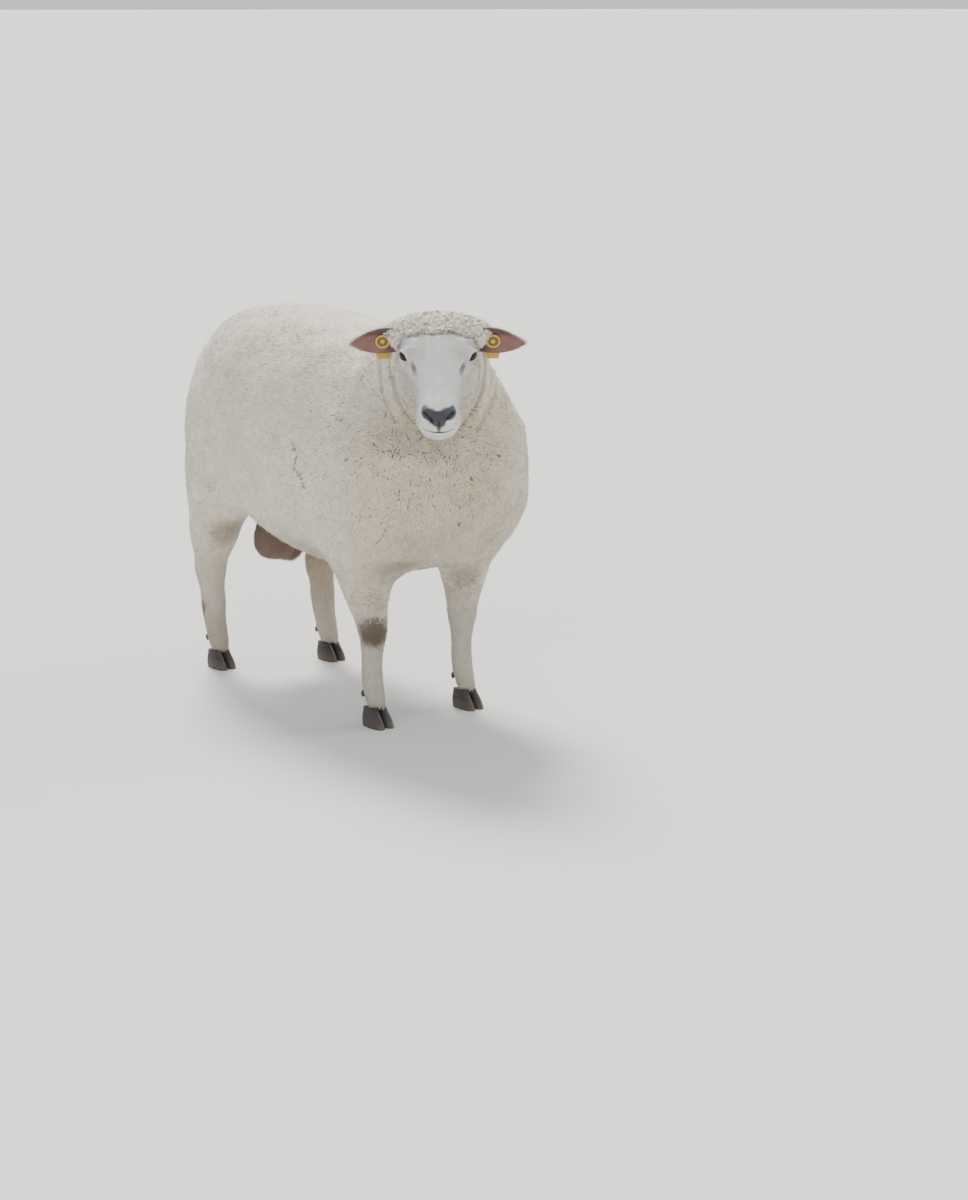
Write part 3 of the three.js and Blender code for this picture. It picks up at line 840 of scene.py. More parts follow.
# ---- finishes
class Graph:
    """The nodes of one material, laid and linked in a few words."""

    def __init__(self, name: str) -> None:
        """Starts a material with a Principled shader.

        Args:
            name: The material's name.
        """
        self.material = bpy.data.materials.new(name)
        self.material.use_nodes = True
        self.nodes = self.material.node_tree.nodes
        self.shader = self.nodes["Principled BSDF"]

    def put(self, socket: Socket, value: object) -> None:
        """Links a socket to an input, or sets it.

        Args:
            socket: The socket.
            value: A node's output, or a number or colour.
        """
        if isinstance(value, Socket):
            self.material.node_tree.links.new(value, socket)
        elif isinstance(value, tuple) and len(value) == 3 and socket.type == "RGBA":
            socket.default_value = (*value, 1.0)
        else:
            socket.default_value = value

    def shade(self, **inputs: object) -> None:
        """Fills the shader's inputs, named with underscores."""
        for name, value in inputs.items():
            self.put(self.shader.inputs[name.replace("_", " ").title().replace("Ior", "IOR")], value)

    def place(self) -> Socket:
        """The place on the object, in metres."""
        return self.nodes.new("ShaderNodeTexCoord").outputs["Object"]

    def stored(self, name: str, colour: bool = False) -> Socket:
        """A number or colour that the mesh holds for each vertex.

        Args:
            name: The attribute's name.
            colour: Whether it holds a colour.

        Returns:
            The output that reads it.
        """
        node = self.nodes.new("ShaderNodeAttribute")
        node.attribute_name = name
        return node.outputs["Color" if colour else "Fac"]

    def noise(self, scale: float, detail: float = 2.0, roughness: float = 0.5,
              stretch: Triple = (1.0, 1.0, 1.0)) -> Socket:
        """Cloudy noise over the object, from 0 to 1.

        Args:
            scale: How many waves there are to a metre.
            detail: How many finer layers it has.
            roughness: How strong those are.
            stretch: How much closer the waves lie along each axis.

        Returns:
            The noise.
        """
        node = self.nodes.new("ShaderNodeTexNoise")
        place = self.place()
        if stretch != (1.0, 1.0, 1.0):
            mapping = self.nodes.new("ShaderNodeMapping")
            self.put(mapping.inputs["Vector"], place)
            mapping.inputs["Scale"].default_value = stretch
            place = mapping.outputs["Vector"]
        self.put(node.inputs["Vector"], place)
        node.inputs["Scale"].default_value = scale
        node.inputs["Detail"].default_value = detail
        node.inputs["Roughness"].default_value = roughness
        return node.outputs["Fac"]

    def cells(self, scale: float) -> Socket:
        """How far inside the edges of a pattern of cells each place of the object lies.

        Args:
            scale: How many cells there are to a metre.

        Returns:
            The distance.
        """
        node = self.nodes.new("ShaderNodeTexVoronoi")
        node.feature = "DISTANCE_TO_EDGE"
        self.put(node.inputs["Vector"], self.place())
        node.inputs["Scale"].default_value = scale
        return node.outputs["Distance"]

    def math(self, operation: str, first: object, second: object = 0.0) -> Socket:
        """A sum on one or two numbers.

        Args:
            operation: What is done.
            first: The first number.
            second: The second one.

        Returns:
            The sum.
        """
        node = self.nodes.new("ShaderNodeMath")
        node.operation = operation
        self.put(node.inputs[0], first)
        self.put(node.inputs[1], second)
        return node.outputs[0]

    def times(self, first: object, second: object) -> Socket:
        """One number times another."""
        return self.math("MULTIPLY", first, second)

    def vary(self, cloud: Socket, start: float, end: float) -> Socket:
        """Turns the middle of a noise, where most of it lies, into the span from start to end."""
        return self.range(cloud, 0.3, 0.7, start, end)

    def range(self, value: Socket, low: float, high: float, start: float, end: float) -> Socket:
        """Turns the span from low to high into the span from start to end.

        Args:
            value: The number.
            low: Where its span starts.
            high: Where it ends.
            start: What low becomes.
            end: What high becomes.

        Returns:
            The new number.
        """
        node = self.nodes.new("ShaderNodeMapRange")
        for name, number in zip(("From Min", "From Max", "To Min", "To Max"), (low, high, start, end)):
            node.inputs[name].default_value = number
        self.put(node.inputs["Value"], value)
        return node.outputs["Result"]

    def blend(self, kind: str, share: object, first: object, second: object) -> Socket:
        """Mixes two colours.

        Args:
            kind: How the second colour goes over the first one.
            share: How much of it goes over.
            first: The first colour.
            second: The second colour.

        Returns:
            The mixed colour.
        """
        node = self.nodes.new("ShaderNodeMix")
        node.data_type = "RGBA"
        node.blend_type = kind
        self.put(node.inputs[0], share)
        self.put(node.inputs[6], first)
        self.put(node.inputs[7], second)
        return node.outputs[2]

    def scaled(self, colour: object, amount: Socket) -> Socket:
        """A colour made lighter or darker by a number.

        Args:
            colour: The colour.
            amount: The number.

        Returns:
            The new colour.
        """
        grey = self.nodes.new("ShaderNodeCombineColor")
        for channel in grey.inputs:
            self.put(channel, amount)
        return self.blend("MULTIPLY", 1.0, colour, grey.outputs[0])

    def bump(self, height: Socket, distance: float, strength: float = 1.0,
             under: Socket | None = None) -> Socket:
        """A bumpy normal.

        Args:
            height: The height, from 0 to 1.
            distance: How high 1 is, in metres.
            strength: How much the bumps show.
            under: A normal that the bumps go over.

        Returns:
            The normal.
        """
        node = self.nodes.new("ShaderNodeBump")
        node.inputs["Distance"].default_value = distance
        node.inputs["Strength"].default_value = strength
        self.put(node.inputs["Height"], height)
        if under is not None:
            self.put(node.inputs["Normal"], under)
        return node.outputs["Normal"]


@dataclass(frozen=True)
class HideFinish:
    """Bare and short-haired hide, in the colours of the markings."""

    streak: float = 900.0  # of the lie of fine hair, per metre
    pores: float = 780.0
    wool_shade: float = 0.92

    def material(self) -> Material:
        """Makes the material.

        Returns:
            The material.
        """
        g = Graph("hide")
        bare = g.stored("bare")
        fine = g.noise(self.streak, 3.0, 0.6)
        broad = g.noise(60.0, 3.0, 0.55)
        tone = g.times(g.vary(fine, 0.86, 1.08), g.vary(broad, 0.92, 1.06))
        shade = g.range(g.stored("woolly"), 0.0, 1.0, 1.0, self.wool_shade)
        colour = g.scaled(g.stored("pelt", True), g.times(tone, shade))
        hair = g.bump(g.noise(1500.0, 2.0), 0.0004, 0.55)
        pebble = g.range(g.cells(self.pores), 0.0, 0.35, 0.0, 1.0)
        pebbled = g.bump(g.times(pebble, bare), 0.00045, 0.8, hair)
        g.shade(base_color=colour, normal=pebbled, sheen_weight=0.04, sheen_roughness=0.6,
                roughness=g.math("ADD", g.range(bare, 0.0, 1.0, 0.78, 0.42),
                                 g.vary(fine, -0.05, 0.05)),
                specular_ior_level=0.4, subsurface_weight=0.06, subsurface_radius=(0.004, 0.0015, 0.001))
        return g.material


@dataclass(frozen=True)
class LidFinish:
    """The dark moist edge of the lids."""

    colour: Triple = (0.028, 0.021, 0.020)

    def material(self) -> Material:
        """Makes the material.

        Returns:
            The material.
        """
        g = Graph("lid_edge")
        fine = g.noise(1200.0, 2.0)
        colour = g.scaled(self.colour, g.vary(fine, 0.7, 1.4))
        g.shade(base_color=colour, roughness=g.vary(fine, 0.28, 0.42),
                normal=g.bump(fine, 0.0002, 0.5), specular_ior_level=0.5)
        return g.material


# ---- the skin
@dataclass(frozen=True)
class EyeOpening:
    """The lens-shaped gap between the lids of one eye, in millimetres round the globe."""

    side: float
    globe: float = 14.5
    half_length: float = 11.0
    upper: float = 7.6
    lower: float = 5.6

    def axes(self) -> Array:
        """Rows: towards the inner corner, towards the upper lid, and out along the gaze.

        Returns:
            The axes.
        """
        gaze = unit(np.array([self.side * 0.70, -0.68, 0.22]))
        inner = np.array([-self.side * 0.46, -0.80, -0.30])
        inner = unit(inner - (inner @ gaze) * gaze)
        upper = np.cross(gaze, inner)
        return np.array([inner, upper if upper[2] > 0 else -upper, gaze])

    def measure(self, offsets: Array) -> tuple[Array, Array, Array]:
        """How far out of the opening each offset from the globe's middle points.

        Args:
            offsets: Vectors from the globe's middle, in the head's frame.

        Returns:
            A number that is 1 at the lids' edge, the height towards the upper lid, and how
            much the offset faces outwards.
        """
        inner, upper, gaze = (unit(offsets) @ self.axes().T).T
        along = inner * self.globe
        height = upper * self.globe
        reach = np.where(height > 0, self.upper, self.lower)
        return (along / self.half_length) ** 2 + np.abs(height) / reach, height, gaze

    def edge(self, radius: float, count: int) -> Array:
        """The lids' edge as a closed loop of offsets from the globe's middle.

        Args:
            radius: How far from the middle the loop lies.
            count: How many places it has.

        Returns:
            The offsets, as rows.
        """
        angle = np.linspace(0, 2 * math.pi, count, endpoint=False)
        along = np.cos(angle) * self.half_length
        reach = np.where(np.sin(angle) > 0, self.upper, -self.lower)
        height = reach * (1 - (along / self.half_length) ** 2)
        out = np.sqrt(np.maximum(self.globe**2 - along**2 - height**2, 1.0))
        return unit(rows(along, height, out)) * radius @ self.axes()


EYES_OPEN = {side: EyeOpening(s) for side, s in SIDES.items()}


@dataclass
class Face:
    """The lids, nostrils, mouth and folds that are worked into the skin of the head."""

    # Paths on the left side, in the head's frame and in millimetres.
    TEAR_FOLD = [(53, -21, 2), (48.5, -29, -6), (44, -37, -10), (39, -48, -12)]
    NOSTRIL = [(28, -141, -10.5), (24, -146.5, -10), (18, -152.5, -12), (12.5, -158, -16),
               (10.5, -160.5, -21)]
    MOUTH = [(0, -166.5, -39), (11, -164.5, -40), (21, -159, -39), (31, -148, -43), (36, -131, -51),
             (37, -110, -59)]
    CREST = [(52, -18, -30), (46, -50, -32), (41, -84, -28)]
    BROW = [(30, 14, 22), (46, 16, 18), (60, 22, 8)]
    PHILTRUM = [(0, -160, -14), (0, -164.5, -24), (0, -166.5, -37)]
    CHEEK = [(56, 24, -20), (60, 12, -50), (54, -8, -82)]

    # Distances from the middle of an eye's globe, in millimetres.
    LID = 16.1  # of the lids' skin, without their rolled edge
    HOLLOW = 15.9  # the least for the skin round them
    WELL = 11.5  # of the skin behind the opening
    LID_REACH = 27  # where the lids have run out into the face

    anatomy: Anatomy

    def __post_init__(self) -> None:
        """Takes the head's frame."""
        self.head = self.anatomy.head

    def refine(self, skin: Piece, chosen: Array) -> None:
        """Halves the faces whose corners are all chosen, and evens them out.

        Args:
            skin: The skin.
            chosen: True for each chosen vertex.
        """
        pick(skin)
        bpy.ops.object.mode_set(mode="EDIT")
        bpy.ops.mesh.select_mode(type="VERT")
        bpy.ops.mesh.select_all(action="DESELECT")
        bpy.ops.object.mode_set(mode="OBJECT")
        skin.data.vertices.foreach_set("select", chosen)
        bpy.ops.object.mode_set(mode="EDIT")
        bpy.ops.mesh.select_mode(type="FACE")
        bpy.ops.mesh.subdivide(number_cuts=1, ngon=False)
        bpy.ops.mesh.vertices_smooth(factor=0.5, repeat=2)
        bpy.ops.object.mode_set(mode="OBJECT")

    def near(self, points: Array, places: list[Array], radius: float) -> Array:
        """True for the points within a radius, in millimetres, of any of the places.

        Args:
            points: Places, as rows.
            places: The places, in the head's frame.
            radius: The radius.

        Returns:
            One truth value for each point.
        """
        local = self.head.local(points)
        gaps = [lengths(local - place) for place in places]
        return np.min(gaps, axis=0) < radius

    def groove(self, local: Array, out: Array, path: list[Triple],
               width: float, depth: float, taper: float = 0.25) -> Array:
        """Presses a groove into both sides of the head, or raises a ridge.

        Args:
            local: The vertices, in the head's frame.
            out: Their normals there.
            path: The groove's path on the left side.
            width: Its half width.
            depth: Its depth, or less than 0 for a ridge.
            taper: The share of its length over which each end runs out.

        Returns:
            The vertices with the groove in them.
        """
        mirror = np.array([-1.0, 1.0, 1.0])
        moved = local.copy()
        for side in (1.0, -1.0):
            line = curve_through(np.array(path) * (mirror if side < 0 else 1.0), 48)
            close = np.abs(local - line.mean(0)).max(1) < 80
            if not close.any():
                continue
            found = local[close]
            nearest = np.linalg.norm(line[:, None] - found[None], axis=2).argmin(1)
            gap, along = distance_to(found[nearest], found)
            ends = smooth(-0.02, taper, along) * smooth(1.02, 1.0 - taper, along)
            if taper == 0:
                ends = np.ones(len(along))
            press = depth * np.exp(-((gap / width) ** 2)) * ends
            moved[close] -= out[close] * press[:, None]
        return moved

    def lids(self, local: Array) -> Array:
        """Wraps the lids round each globe, and opens them.

        Args:
            local: The vertices, in the head's frame.

        Returns:
            The vertices with the lids in them.
        """
        for side, opening in EYES_OPEN.items():
            centre = self.head.local(self.head.eyes[side][None])[0]
            offset = local - centre
            radius = lengths(offset)
            reach, height, facing = opening.measure(offset)
            roll = self.LID + 0.7 * np.exp(-(((reach - 1.22) / 0.2) ** 2))
            fold = 0.9 * np.exp(-(((reach - 1.85) / 0.2) ** 2)) * (height > 0)
            natural = smooth(1.35, 2.5, reach)
            target = roll + (np.maximum(radius, self.HOLLOW) - roll) * natural - fold
            opened = self.WELL + (roll - self.WELL) * smooth(0.86, 0.97, reach)
            target = np.where(reach < 1.0, opened, target)
            chosen = (radius < self.LID_REACH) & (facing > 0.02)
            share = smooth(0.02, 0.3, facing) * smooth(self.LID_REACH, 22, radius) * chosen
            local = local + unit(offset) * ((target - radius) * share)[:, None]
        return local

    def sculpt(self, skin: Piece) -> None:
        """Works every feature into the skin.

        Args:
            skin: The skin.
        """
        eyes = [self.head.local(place[None])[0] for place in self.head.eyes.values()]
        lines = self.NOSTRIL + self.MOUTH[:4]
        muzzle = [np.array([s * x, y, z]) for s in (1, -1) for x, y, z in lines]
        for round_eyes, round_muzzle in ((36, 20), (23, 7), (16.5, 0)):
            places = points_of(skin)
            self.refine(skin, self.near(places, eyes, round_eyes)
                        | self.near(places, muzzle, round_muzzle))
        points = points_of(skin)
        chosen = self.anatomy.in_head(points)
        local = self.head.local(points[chosen])
        out = normals_of(skin)[chosen] @ self.head.axes.T
        for path, width, depth, taper in (
            (self.BROW, 8.0, -1.6, 0.4),
            (self.CREST, 7.0, -1.6, 0.4),
            (self.CHEEK, 6.0, 1.4, 0.4),
            (self.TEAR_FOLD, 2.8, 3.8, 0.3),
            (self.NOSTRIL, 6.0, -1.3, 0.2),
            (self.MOUTH, 5.5, -0.9, 0.2),
            (self.PHILTRUM, 1.7, 1.8, 0.15),
        ):
            local = self.groove(local, out, path, width, depth, taper)
        local = self.groove(local, out, self.MOUTH, 1.7, 4.2, 0.12)
        inward = np.array([0.0, -0.95, 0.25])
        local = self.groove(local, np.tile(inward, (len(local), 1)), self.NOSTRIL, 2.3, 8.5, 0.25)
        local = self.lids(local)
        points[chosen] = self.head.world(local)
        set_points(skin, points)

    def lid_rims(self, side: str) -> Piece:
        """The moist edge of both lids of an eye, a closed roll round the opening.

        Args:
            side: Whose eye it is, left or right.

        Returns:
            The roll.
        """
        opening = EYES_OPEN[side]
        centre = self.head.local(self.head.eyes[side][None])[0]
        count, around, thickness = 56, 8, 0.85
        line = opening.edge(15.45, count)
        tangent = unit(np.roll(line, -1, 0) - np.roll(line, 1, 0))
        out = unit(line)
        across = np.cross(tangent, out)
        angle = np.linspace(0, 2 * math.pi, around, endpoint=False)
        ring = (np.cos(angle)[None, :, None] * out[:, None, :]
                + np.sin(angle)[None, :, None] * across[:, None, :]) * thickness
        points = (centre + line[:, None, :] + ring).reshape(-1, 3)
        first = np.arange(count)[:, None] * around + np.arange(around)
        after = np.roll(first, -1, 0)
        faces = np.stack([first, np.roll(first, -1, 1), np.roll(after, -1, 1), after], -1)
        rims = mesh_object(f"lid_rims_{side}", self.head.world(points), faces.reshape(-1, 4))
        edit_whole(rims, bpy.ops.mesh.normals_make_consistent, inside=False)
        return rims


@dataclass
class Ear:
    """A cupped leaf of skin that grows sideways from behind the eye, in millimetres."""

    BACK = (0.66, 0.60, 0.53)
    INSIDE = (0.24, 0.125, 0.105)
    SHADOW = (0.085, 0.042, 0.037)
    FLUSH = (0.19, 0.085, 0.07)

    side: str
    head: HeadFrame
    root: float = 62.0
    length: float = 102.0
    width: float = 52.0
    arch: float = 4.5
    cup: float = 12.0
    thickness: float = 3.2
    front: Triple = (0.0, -0.958, 0.287)

    def leaf(self, share: Array) -> Array:
        """The width at a share of the length, against the widest."""
        bent = np.minimum(0.985, 0.26 + 0.74 * share) ** 1.12
        return np.sin(math.pi * bent) ** 0.85

    def surface(self, share: Array, across: Array) -> Array:
        """Places on the ear's middle surface, in the head's frame.

        Args:
            share: How far along from root to tip, from 0 to 1.
            across: How far across, from -1 at the lower edge to 1 at the upper one.

        Returns:
            The places, as rows.
        """
        s = SIDES[self.side]
        along = unit(np.array([s * 92.0, -4.0, 0.0]))
        upward = unit(np.array([0.0, 0.3, 1.0]))
        front = np.array(self.front)
        leaf = self.leaf(share)
        half = self.width / 2 * leaf + 1.2
        bow = (2 * across**2 - 1) * self.cup * leaf * 0.5
        ridge = 0.55 * np.cos(across * 3 * math.pi) * smooth(0.0, 0.3, share) * smooth(1.0, 0.6, share)
        rise = across * half + self.arch * (np.sin(math.pi * share**0.7) - share)
        root = np.array([s * self.root, 46.0, -12.0])
        return (root + np.outer(self.length * share, along) + np.outer(rise, upward)
                + np.outer(bow + ridge, front))

    def build(self) -> Piece:
        """The ear as a closed mesh.

        Returns:
            The ear.
        """
        bpy.ops.object.select_all(action="DESELECT")
        bpy.ops.mesh.primitive_grid_add(x_subdivisions=32, y_subdivisions=16, size=2)
        blade = bpy.context.active_object
        blade.name = f"ear_blade_{self.side}"
        places = points_of(blade)
        share = (places[:, 0] + 1) / 2
        set_points(blade, self.head.world(self.surface(share, places[:, 1])))
        apply(blade, "SOLIDIFY", thickness=self.thickness * MM, offset=0.0)
        apply(blade, "SUBSURF", levels=1, render_levels=1)
        edit_whole(blade, bpy.ops.mesh.normals_make_consistent, inside=False)
        return blade

    def colours(self, points: Array, shares: Array) -> Array:
        """The colour of the bare inner face, with painted shade near the root and along its upper edge.

        Args:
            points: Places, as rows.
            shares: How far each one is on the inner face.

        Returns:
            The colours, as rows.
        """
        local = self.head.local(points)
        out = (local[:, 0] * SIDES[self.side] - self.root) / self.length
        high = (local[:, 2] + 12.0) / (self.width / 2)
        edge = 0.8 * smooth(0.1, 0.7, high) * smooth(0.95, 0.6, out)
        deep = np.maximum(smooth(0.55, 0.15, out), edge)
        inner = tint(np.tile(np.array(self.INSIDE), (len(points), 1)), self.SHADOW, deep)
        inner = tint(inner, self.FLUSH, 0.6 * np.clip(ripple(points, 0.016, 3.0), 0, 1))
        back = np.tile(np.array(self.BACK), (len(points), 1))
        return back + (inner - back) * shares[:, None]

    def inside(self, points: Array, normals: Array) -> Array:
        """1 on the bare inner face of the ear, 0 elsewhere.

        Args:
            points: Places, as rows.
            normals: The normals there.

        Returns:
            A number for each of them.
        """
        local = self.head.local(points)
        facing = normals @ self.head.axes.T @ np.array(self.front)
        out = local[:, 0] * SIDES[self.side] - self.root
        close = (out > 2) & (out < self.length + 5) & (np.abs(local[:, 1] - 42) < 24)
        return smooth(0.35, 0.68, facing) * close * (np.abs(local[:, 2] + 14) < 36)


@dataclass
class Skin:
    """The one skin of the animal, under its coat."""

    FLESH = ("trunk", "neck", "head", "tail", "scrotum", "foreleg_left", "foreleg_right",
             "hindleg_left", "hindleg_right")
    OVERLAP = 0.35 * MM  # bridges the clearance between the cut solids
    VOXEL = 2.8 * MM
    BODY_TRIANGLES = 40000
    FOLD = 9.0 * MM
    EYE_PLUG = (16.4, 16.4, 16.4)  # radii in millimetres
    EAR_PLUG = (18, 13, 26)
    EVENINGS, FILLINGS = 36, 150  # how often the hide is evened out, and its bends are filled

    anatomy: Anatomy
    markings: Markings

    def __post_init__(self) -> None:
        """Sets up the face and the ears."""
        self.face = Face(self.anatomy)
        self.ears = {side: Ear(side, self.anatomy.head) for side in SIDES}

    def flesh(self, name: str) -> Piece:
        """A merged and slightly swollen copy of a node of flesh.

        Args:
            name: The node's name.

        Returns:
            The copy.
        """
        copy = plain_copy(name)
        set_points(copy, points_of(copy) + normals_of(copy) * self.OVERLAP)
        return copy

    def plug(self, place: Triple, radii: Triple) -> Piece:
        """A ball in the head's frame, which fills the room of an eye or an ear's root.

        Args:
            place: Its middle, in millimetres.
            radii: Its radii, in millimetres.

        Returns:
            The ball.
        """
        ball = new_ball(32, 16)
        set_points(ball, self.anatomy.head.world(points_of(ball) * np.array(radii) + np.array(place)))
        return ball

    def base(self) -> Piece:
        """All the flesh as one closed surface, out to the tips of the coat.

        Returns:
            The surface.
        """
        solids = [self.flesh(name) for name in self.FLESH]
        for s in SIDES.values():
            solids.append(self.plug((s * 57, -3, 0), self.EYE_PLUG))
            solids.append(self.plug((s * 68, 50, -12), self.EAR_PLUG))
        skin = join(solids)
        skin.name = "skin"
        skin.data.remesh_voxel_size = self.VOXEL
        skin.data.remesh_voxel_adaptivity = 0.0
        pick(skin)
        bpy.ops.object.voxel_remesh()
        apply(skin, "SMOOTH", factor=0.5, iterations=6)
        return skin

    def thin_out(self, skin: Piece) -> None:
        """Lightens the mesh under the wool, and leaves the bare face as it is.

        Args:
            skin: The skin.
        """
        group = skin.vertex_groups.new(name="woolly")
        woolly = self.anatomy.face(points_of(skin)) < 0.02
        group.add(np.flatnonzero(woolly).tolist(), 1.0, "REPLACE")
        faces = len(skin.data.polygons)
        bare = faces - int(woolly.sum())
        ratio = (self.BODY_TRIANGLES / 2 + bare) / faces
        apply(skin, "DECIMATE", ratio=ratio, vertex_group="woolly")
        skin.vertex_groups.clear()

    def sink(self, skin: Piece) -> None:
        """Evens out the hide under the wool, and sinks it under the tips by the coat's depth.

        Args:
            skin: The skin.
        """
        web = Web(skin)
        points = points_of(skin)
        bare = np.maximum(self.anatomy.face(points), 0.7 * self.anatomy.shin(points))
        stiff = np.maximum(bare, 0.72 * np.max([leg.near(points) for leg in self.anatomy.legs], axis=0))
        points = web.blur(points, self.EVENINGS, 0.5 * (1.0 - web.blur(stiff, 3)))
        set_points(skin, points)
        crook = self.anatomy.crook(points)
        full = web.blur(points, self.FILLINGS, 0.5 * crook)
        out = unit(web.blur(normals_of(skin), 8))
        lift = np.maximum(((full - points) * out).sum(1), 0.0)
        lift = web.blur(lift, 4) - self.FOLD * web.blur(self.anatomy.ruff_folds(points), 2)
        set_points(skin, points + out * lift[:, None])
        depth = web.blur(self.anatomy.depth(points), 6)
        out = unit(web.blur(normals_of(skin), 8))
        set_points(skin, points_of(skin) - out * depth[:, None])

    def build(self) -> Piece:
        """Makes the skin, with its face and ears.

        Returns:
            The skin.
        """
        skin = self.base()
        self.thin_out(skin)
        self.sink(skin)
        self.ground = skin.copy()
        self.ground.data = skin.data.copy()
        self.face.sculpt(skin)
        self.blades_from = len(skin.data.vertices)
        blades = [ear.build() for ear in self.ears.values()]
        rims = [self.face.lid_rims(side) for side in SIDES]
        rim_faces = sum(len(rim.data.polygons) for rim in rims)
        skin = join([skin, *blades, *rims])
        skin.name = "skin"
        skin.data.name = "skin"
        skin.data.polygons.foreach_set("use_smooth", np.ones(len(skin.data.polygons), bool))
        self.dress(skin, rim_faces)
        return skin

    def dress(self, skin: Piece, rim_faces: int) -> None:
        """Paints the markings on the skin and gives it its materials.

        Args:
            skin: The skin.
            rim_faces: How many of its last faces are the edges of the lids.
        """
        points, normals = points_of(skin), normals_of(skin)
        colours = self.markings.colours(points)
        inside = np.zeros(len(points))
        blades = np.arange(len(points)) >= self.blades_from
        side = np.sign(self.anatomy.head.local(points)[:, 0])
        for ear in self.ears.values():
            share = ear.inside(points, normals)
            near = (share > 0) | (blades & (side == SIDES[ear.side]))
            colours[near] = ear.colours(points[near], share[near])
            inside = np.maximum(inside, share)
        paint(skin, "pelt", colours)
        paint(skin, "bare", np.maximum(self.markings.bare(points), 0.35 * inside))
        paint(skin, "woolly", (1.0 - np.maximum(self.anatomy.short(points), inside)) * ~blades)
        skin.data.materials.clear()
        skin.data.materials.append(HideFinish().material())
        skin.data.materials.append(LidFinish().material())
        slots = np.zeros(len(skin.data.polygons), np.int32)
        slots[-rim_faces:] = 1
        skin.data.polygons.foreach_set("material_index", slots)
        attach(skin, ROOT)
        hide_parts(*self.FLESH, "ear_left", "ear_right")


# ---- the coat
class Growth(Enum):
    """The kinds of coat."""

    FLEECE = "fleece"
    RUFF = "ruff"
    CURLS = "curls"
    WISPS = "wisps"
    HAIR = "hair"


@dataclass(frozen=True)
class Nap:
    """How one kind of coat grows, in millimetres where it has a size."""

    levels: tuple[float, ...]  # where its rings are, as shares of its length
    widths: tuple[float, ...]  # of the rings, against the radius
    radius: float
    lean: float  # how far the tip lies along the body, against its height
    curl: float
    turns: float
    gather: float  # how far the tips of a staple draw together
    sunk: float
    pointed: bool  # whether the root is a point in the hide, or a flat foot under it


NAPS = {
    Growth.FLEECE: Nap((0.64,), (1.0,), 2.85, 0.62, 1.3, 0.6, 0.10, 1.5, True),
    Growth.RUFF: Nap((0.72,), (1.0,), 2.05, 0.80, 0.9, 0.5, 0.10, 1.5, True),
    Growth.CURLS: Nap((0.42, 0.84), (1.0, 0.95), 1.75, 0.30, 2.4, 1.1, 0.36, 1.5, True),
    Growth.WISPS: Nap((0.0,), (1.0,), 0.5, 0.7, 2.5, 0.3, 0.0, -4.0, False),
    Growth.HAIR: Nap((0.0,), (1.0,), 0.42, 5.5, 0.0, 0.0, 0.0, 0.35, False),
}


@dataclass
class Roots:
    """Where tufts grow: one row for each of them."""

    points: Array
    normals: Array
    lie: Array
    height: Array
    tone: Array
    phase: Array
    gather: Array
    breadth: Array

    def chosen(self, mask: Array) -> "Roots":
        """The roots that the mask picks."""
        return Roots(*(getattr(self, name)[mask] for name in self.__dataclass_fields__))

    def path(self, nap: Nap, share: float) -> Array:
        """Places at a share of each tuft's length, before the staples draw together.

        Args:
            nap: How the coat grows.
            share: The share, from 0 to 1.

        Returns:
            The places, as rows.
        """
        rise = 1.0 - (1.0 - share) ** 1.5
        sunk = nap.sunk * MM * (1.0 - share)
        side = np.cross(self.normals, self.lie)
        angle = 2 * math.pi * (nap.turns * share + self.phase)
        curl = nap.curl * MM * share**0.7
        return (self.points + self.normals * (self.height * rise - sunk)[:, None]
                + self.lie * (self.height * nap.lean * share**1.6 + curl * np.cos(angle))[:, None]
                + side * (curl * np.sin(angle))[:, None])


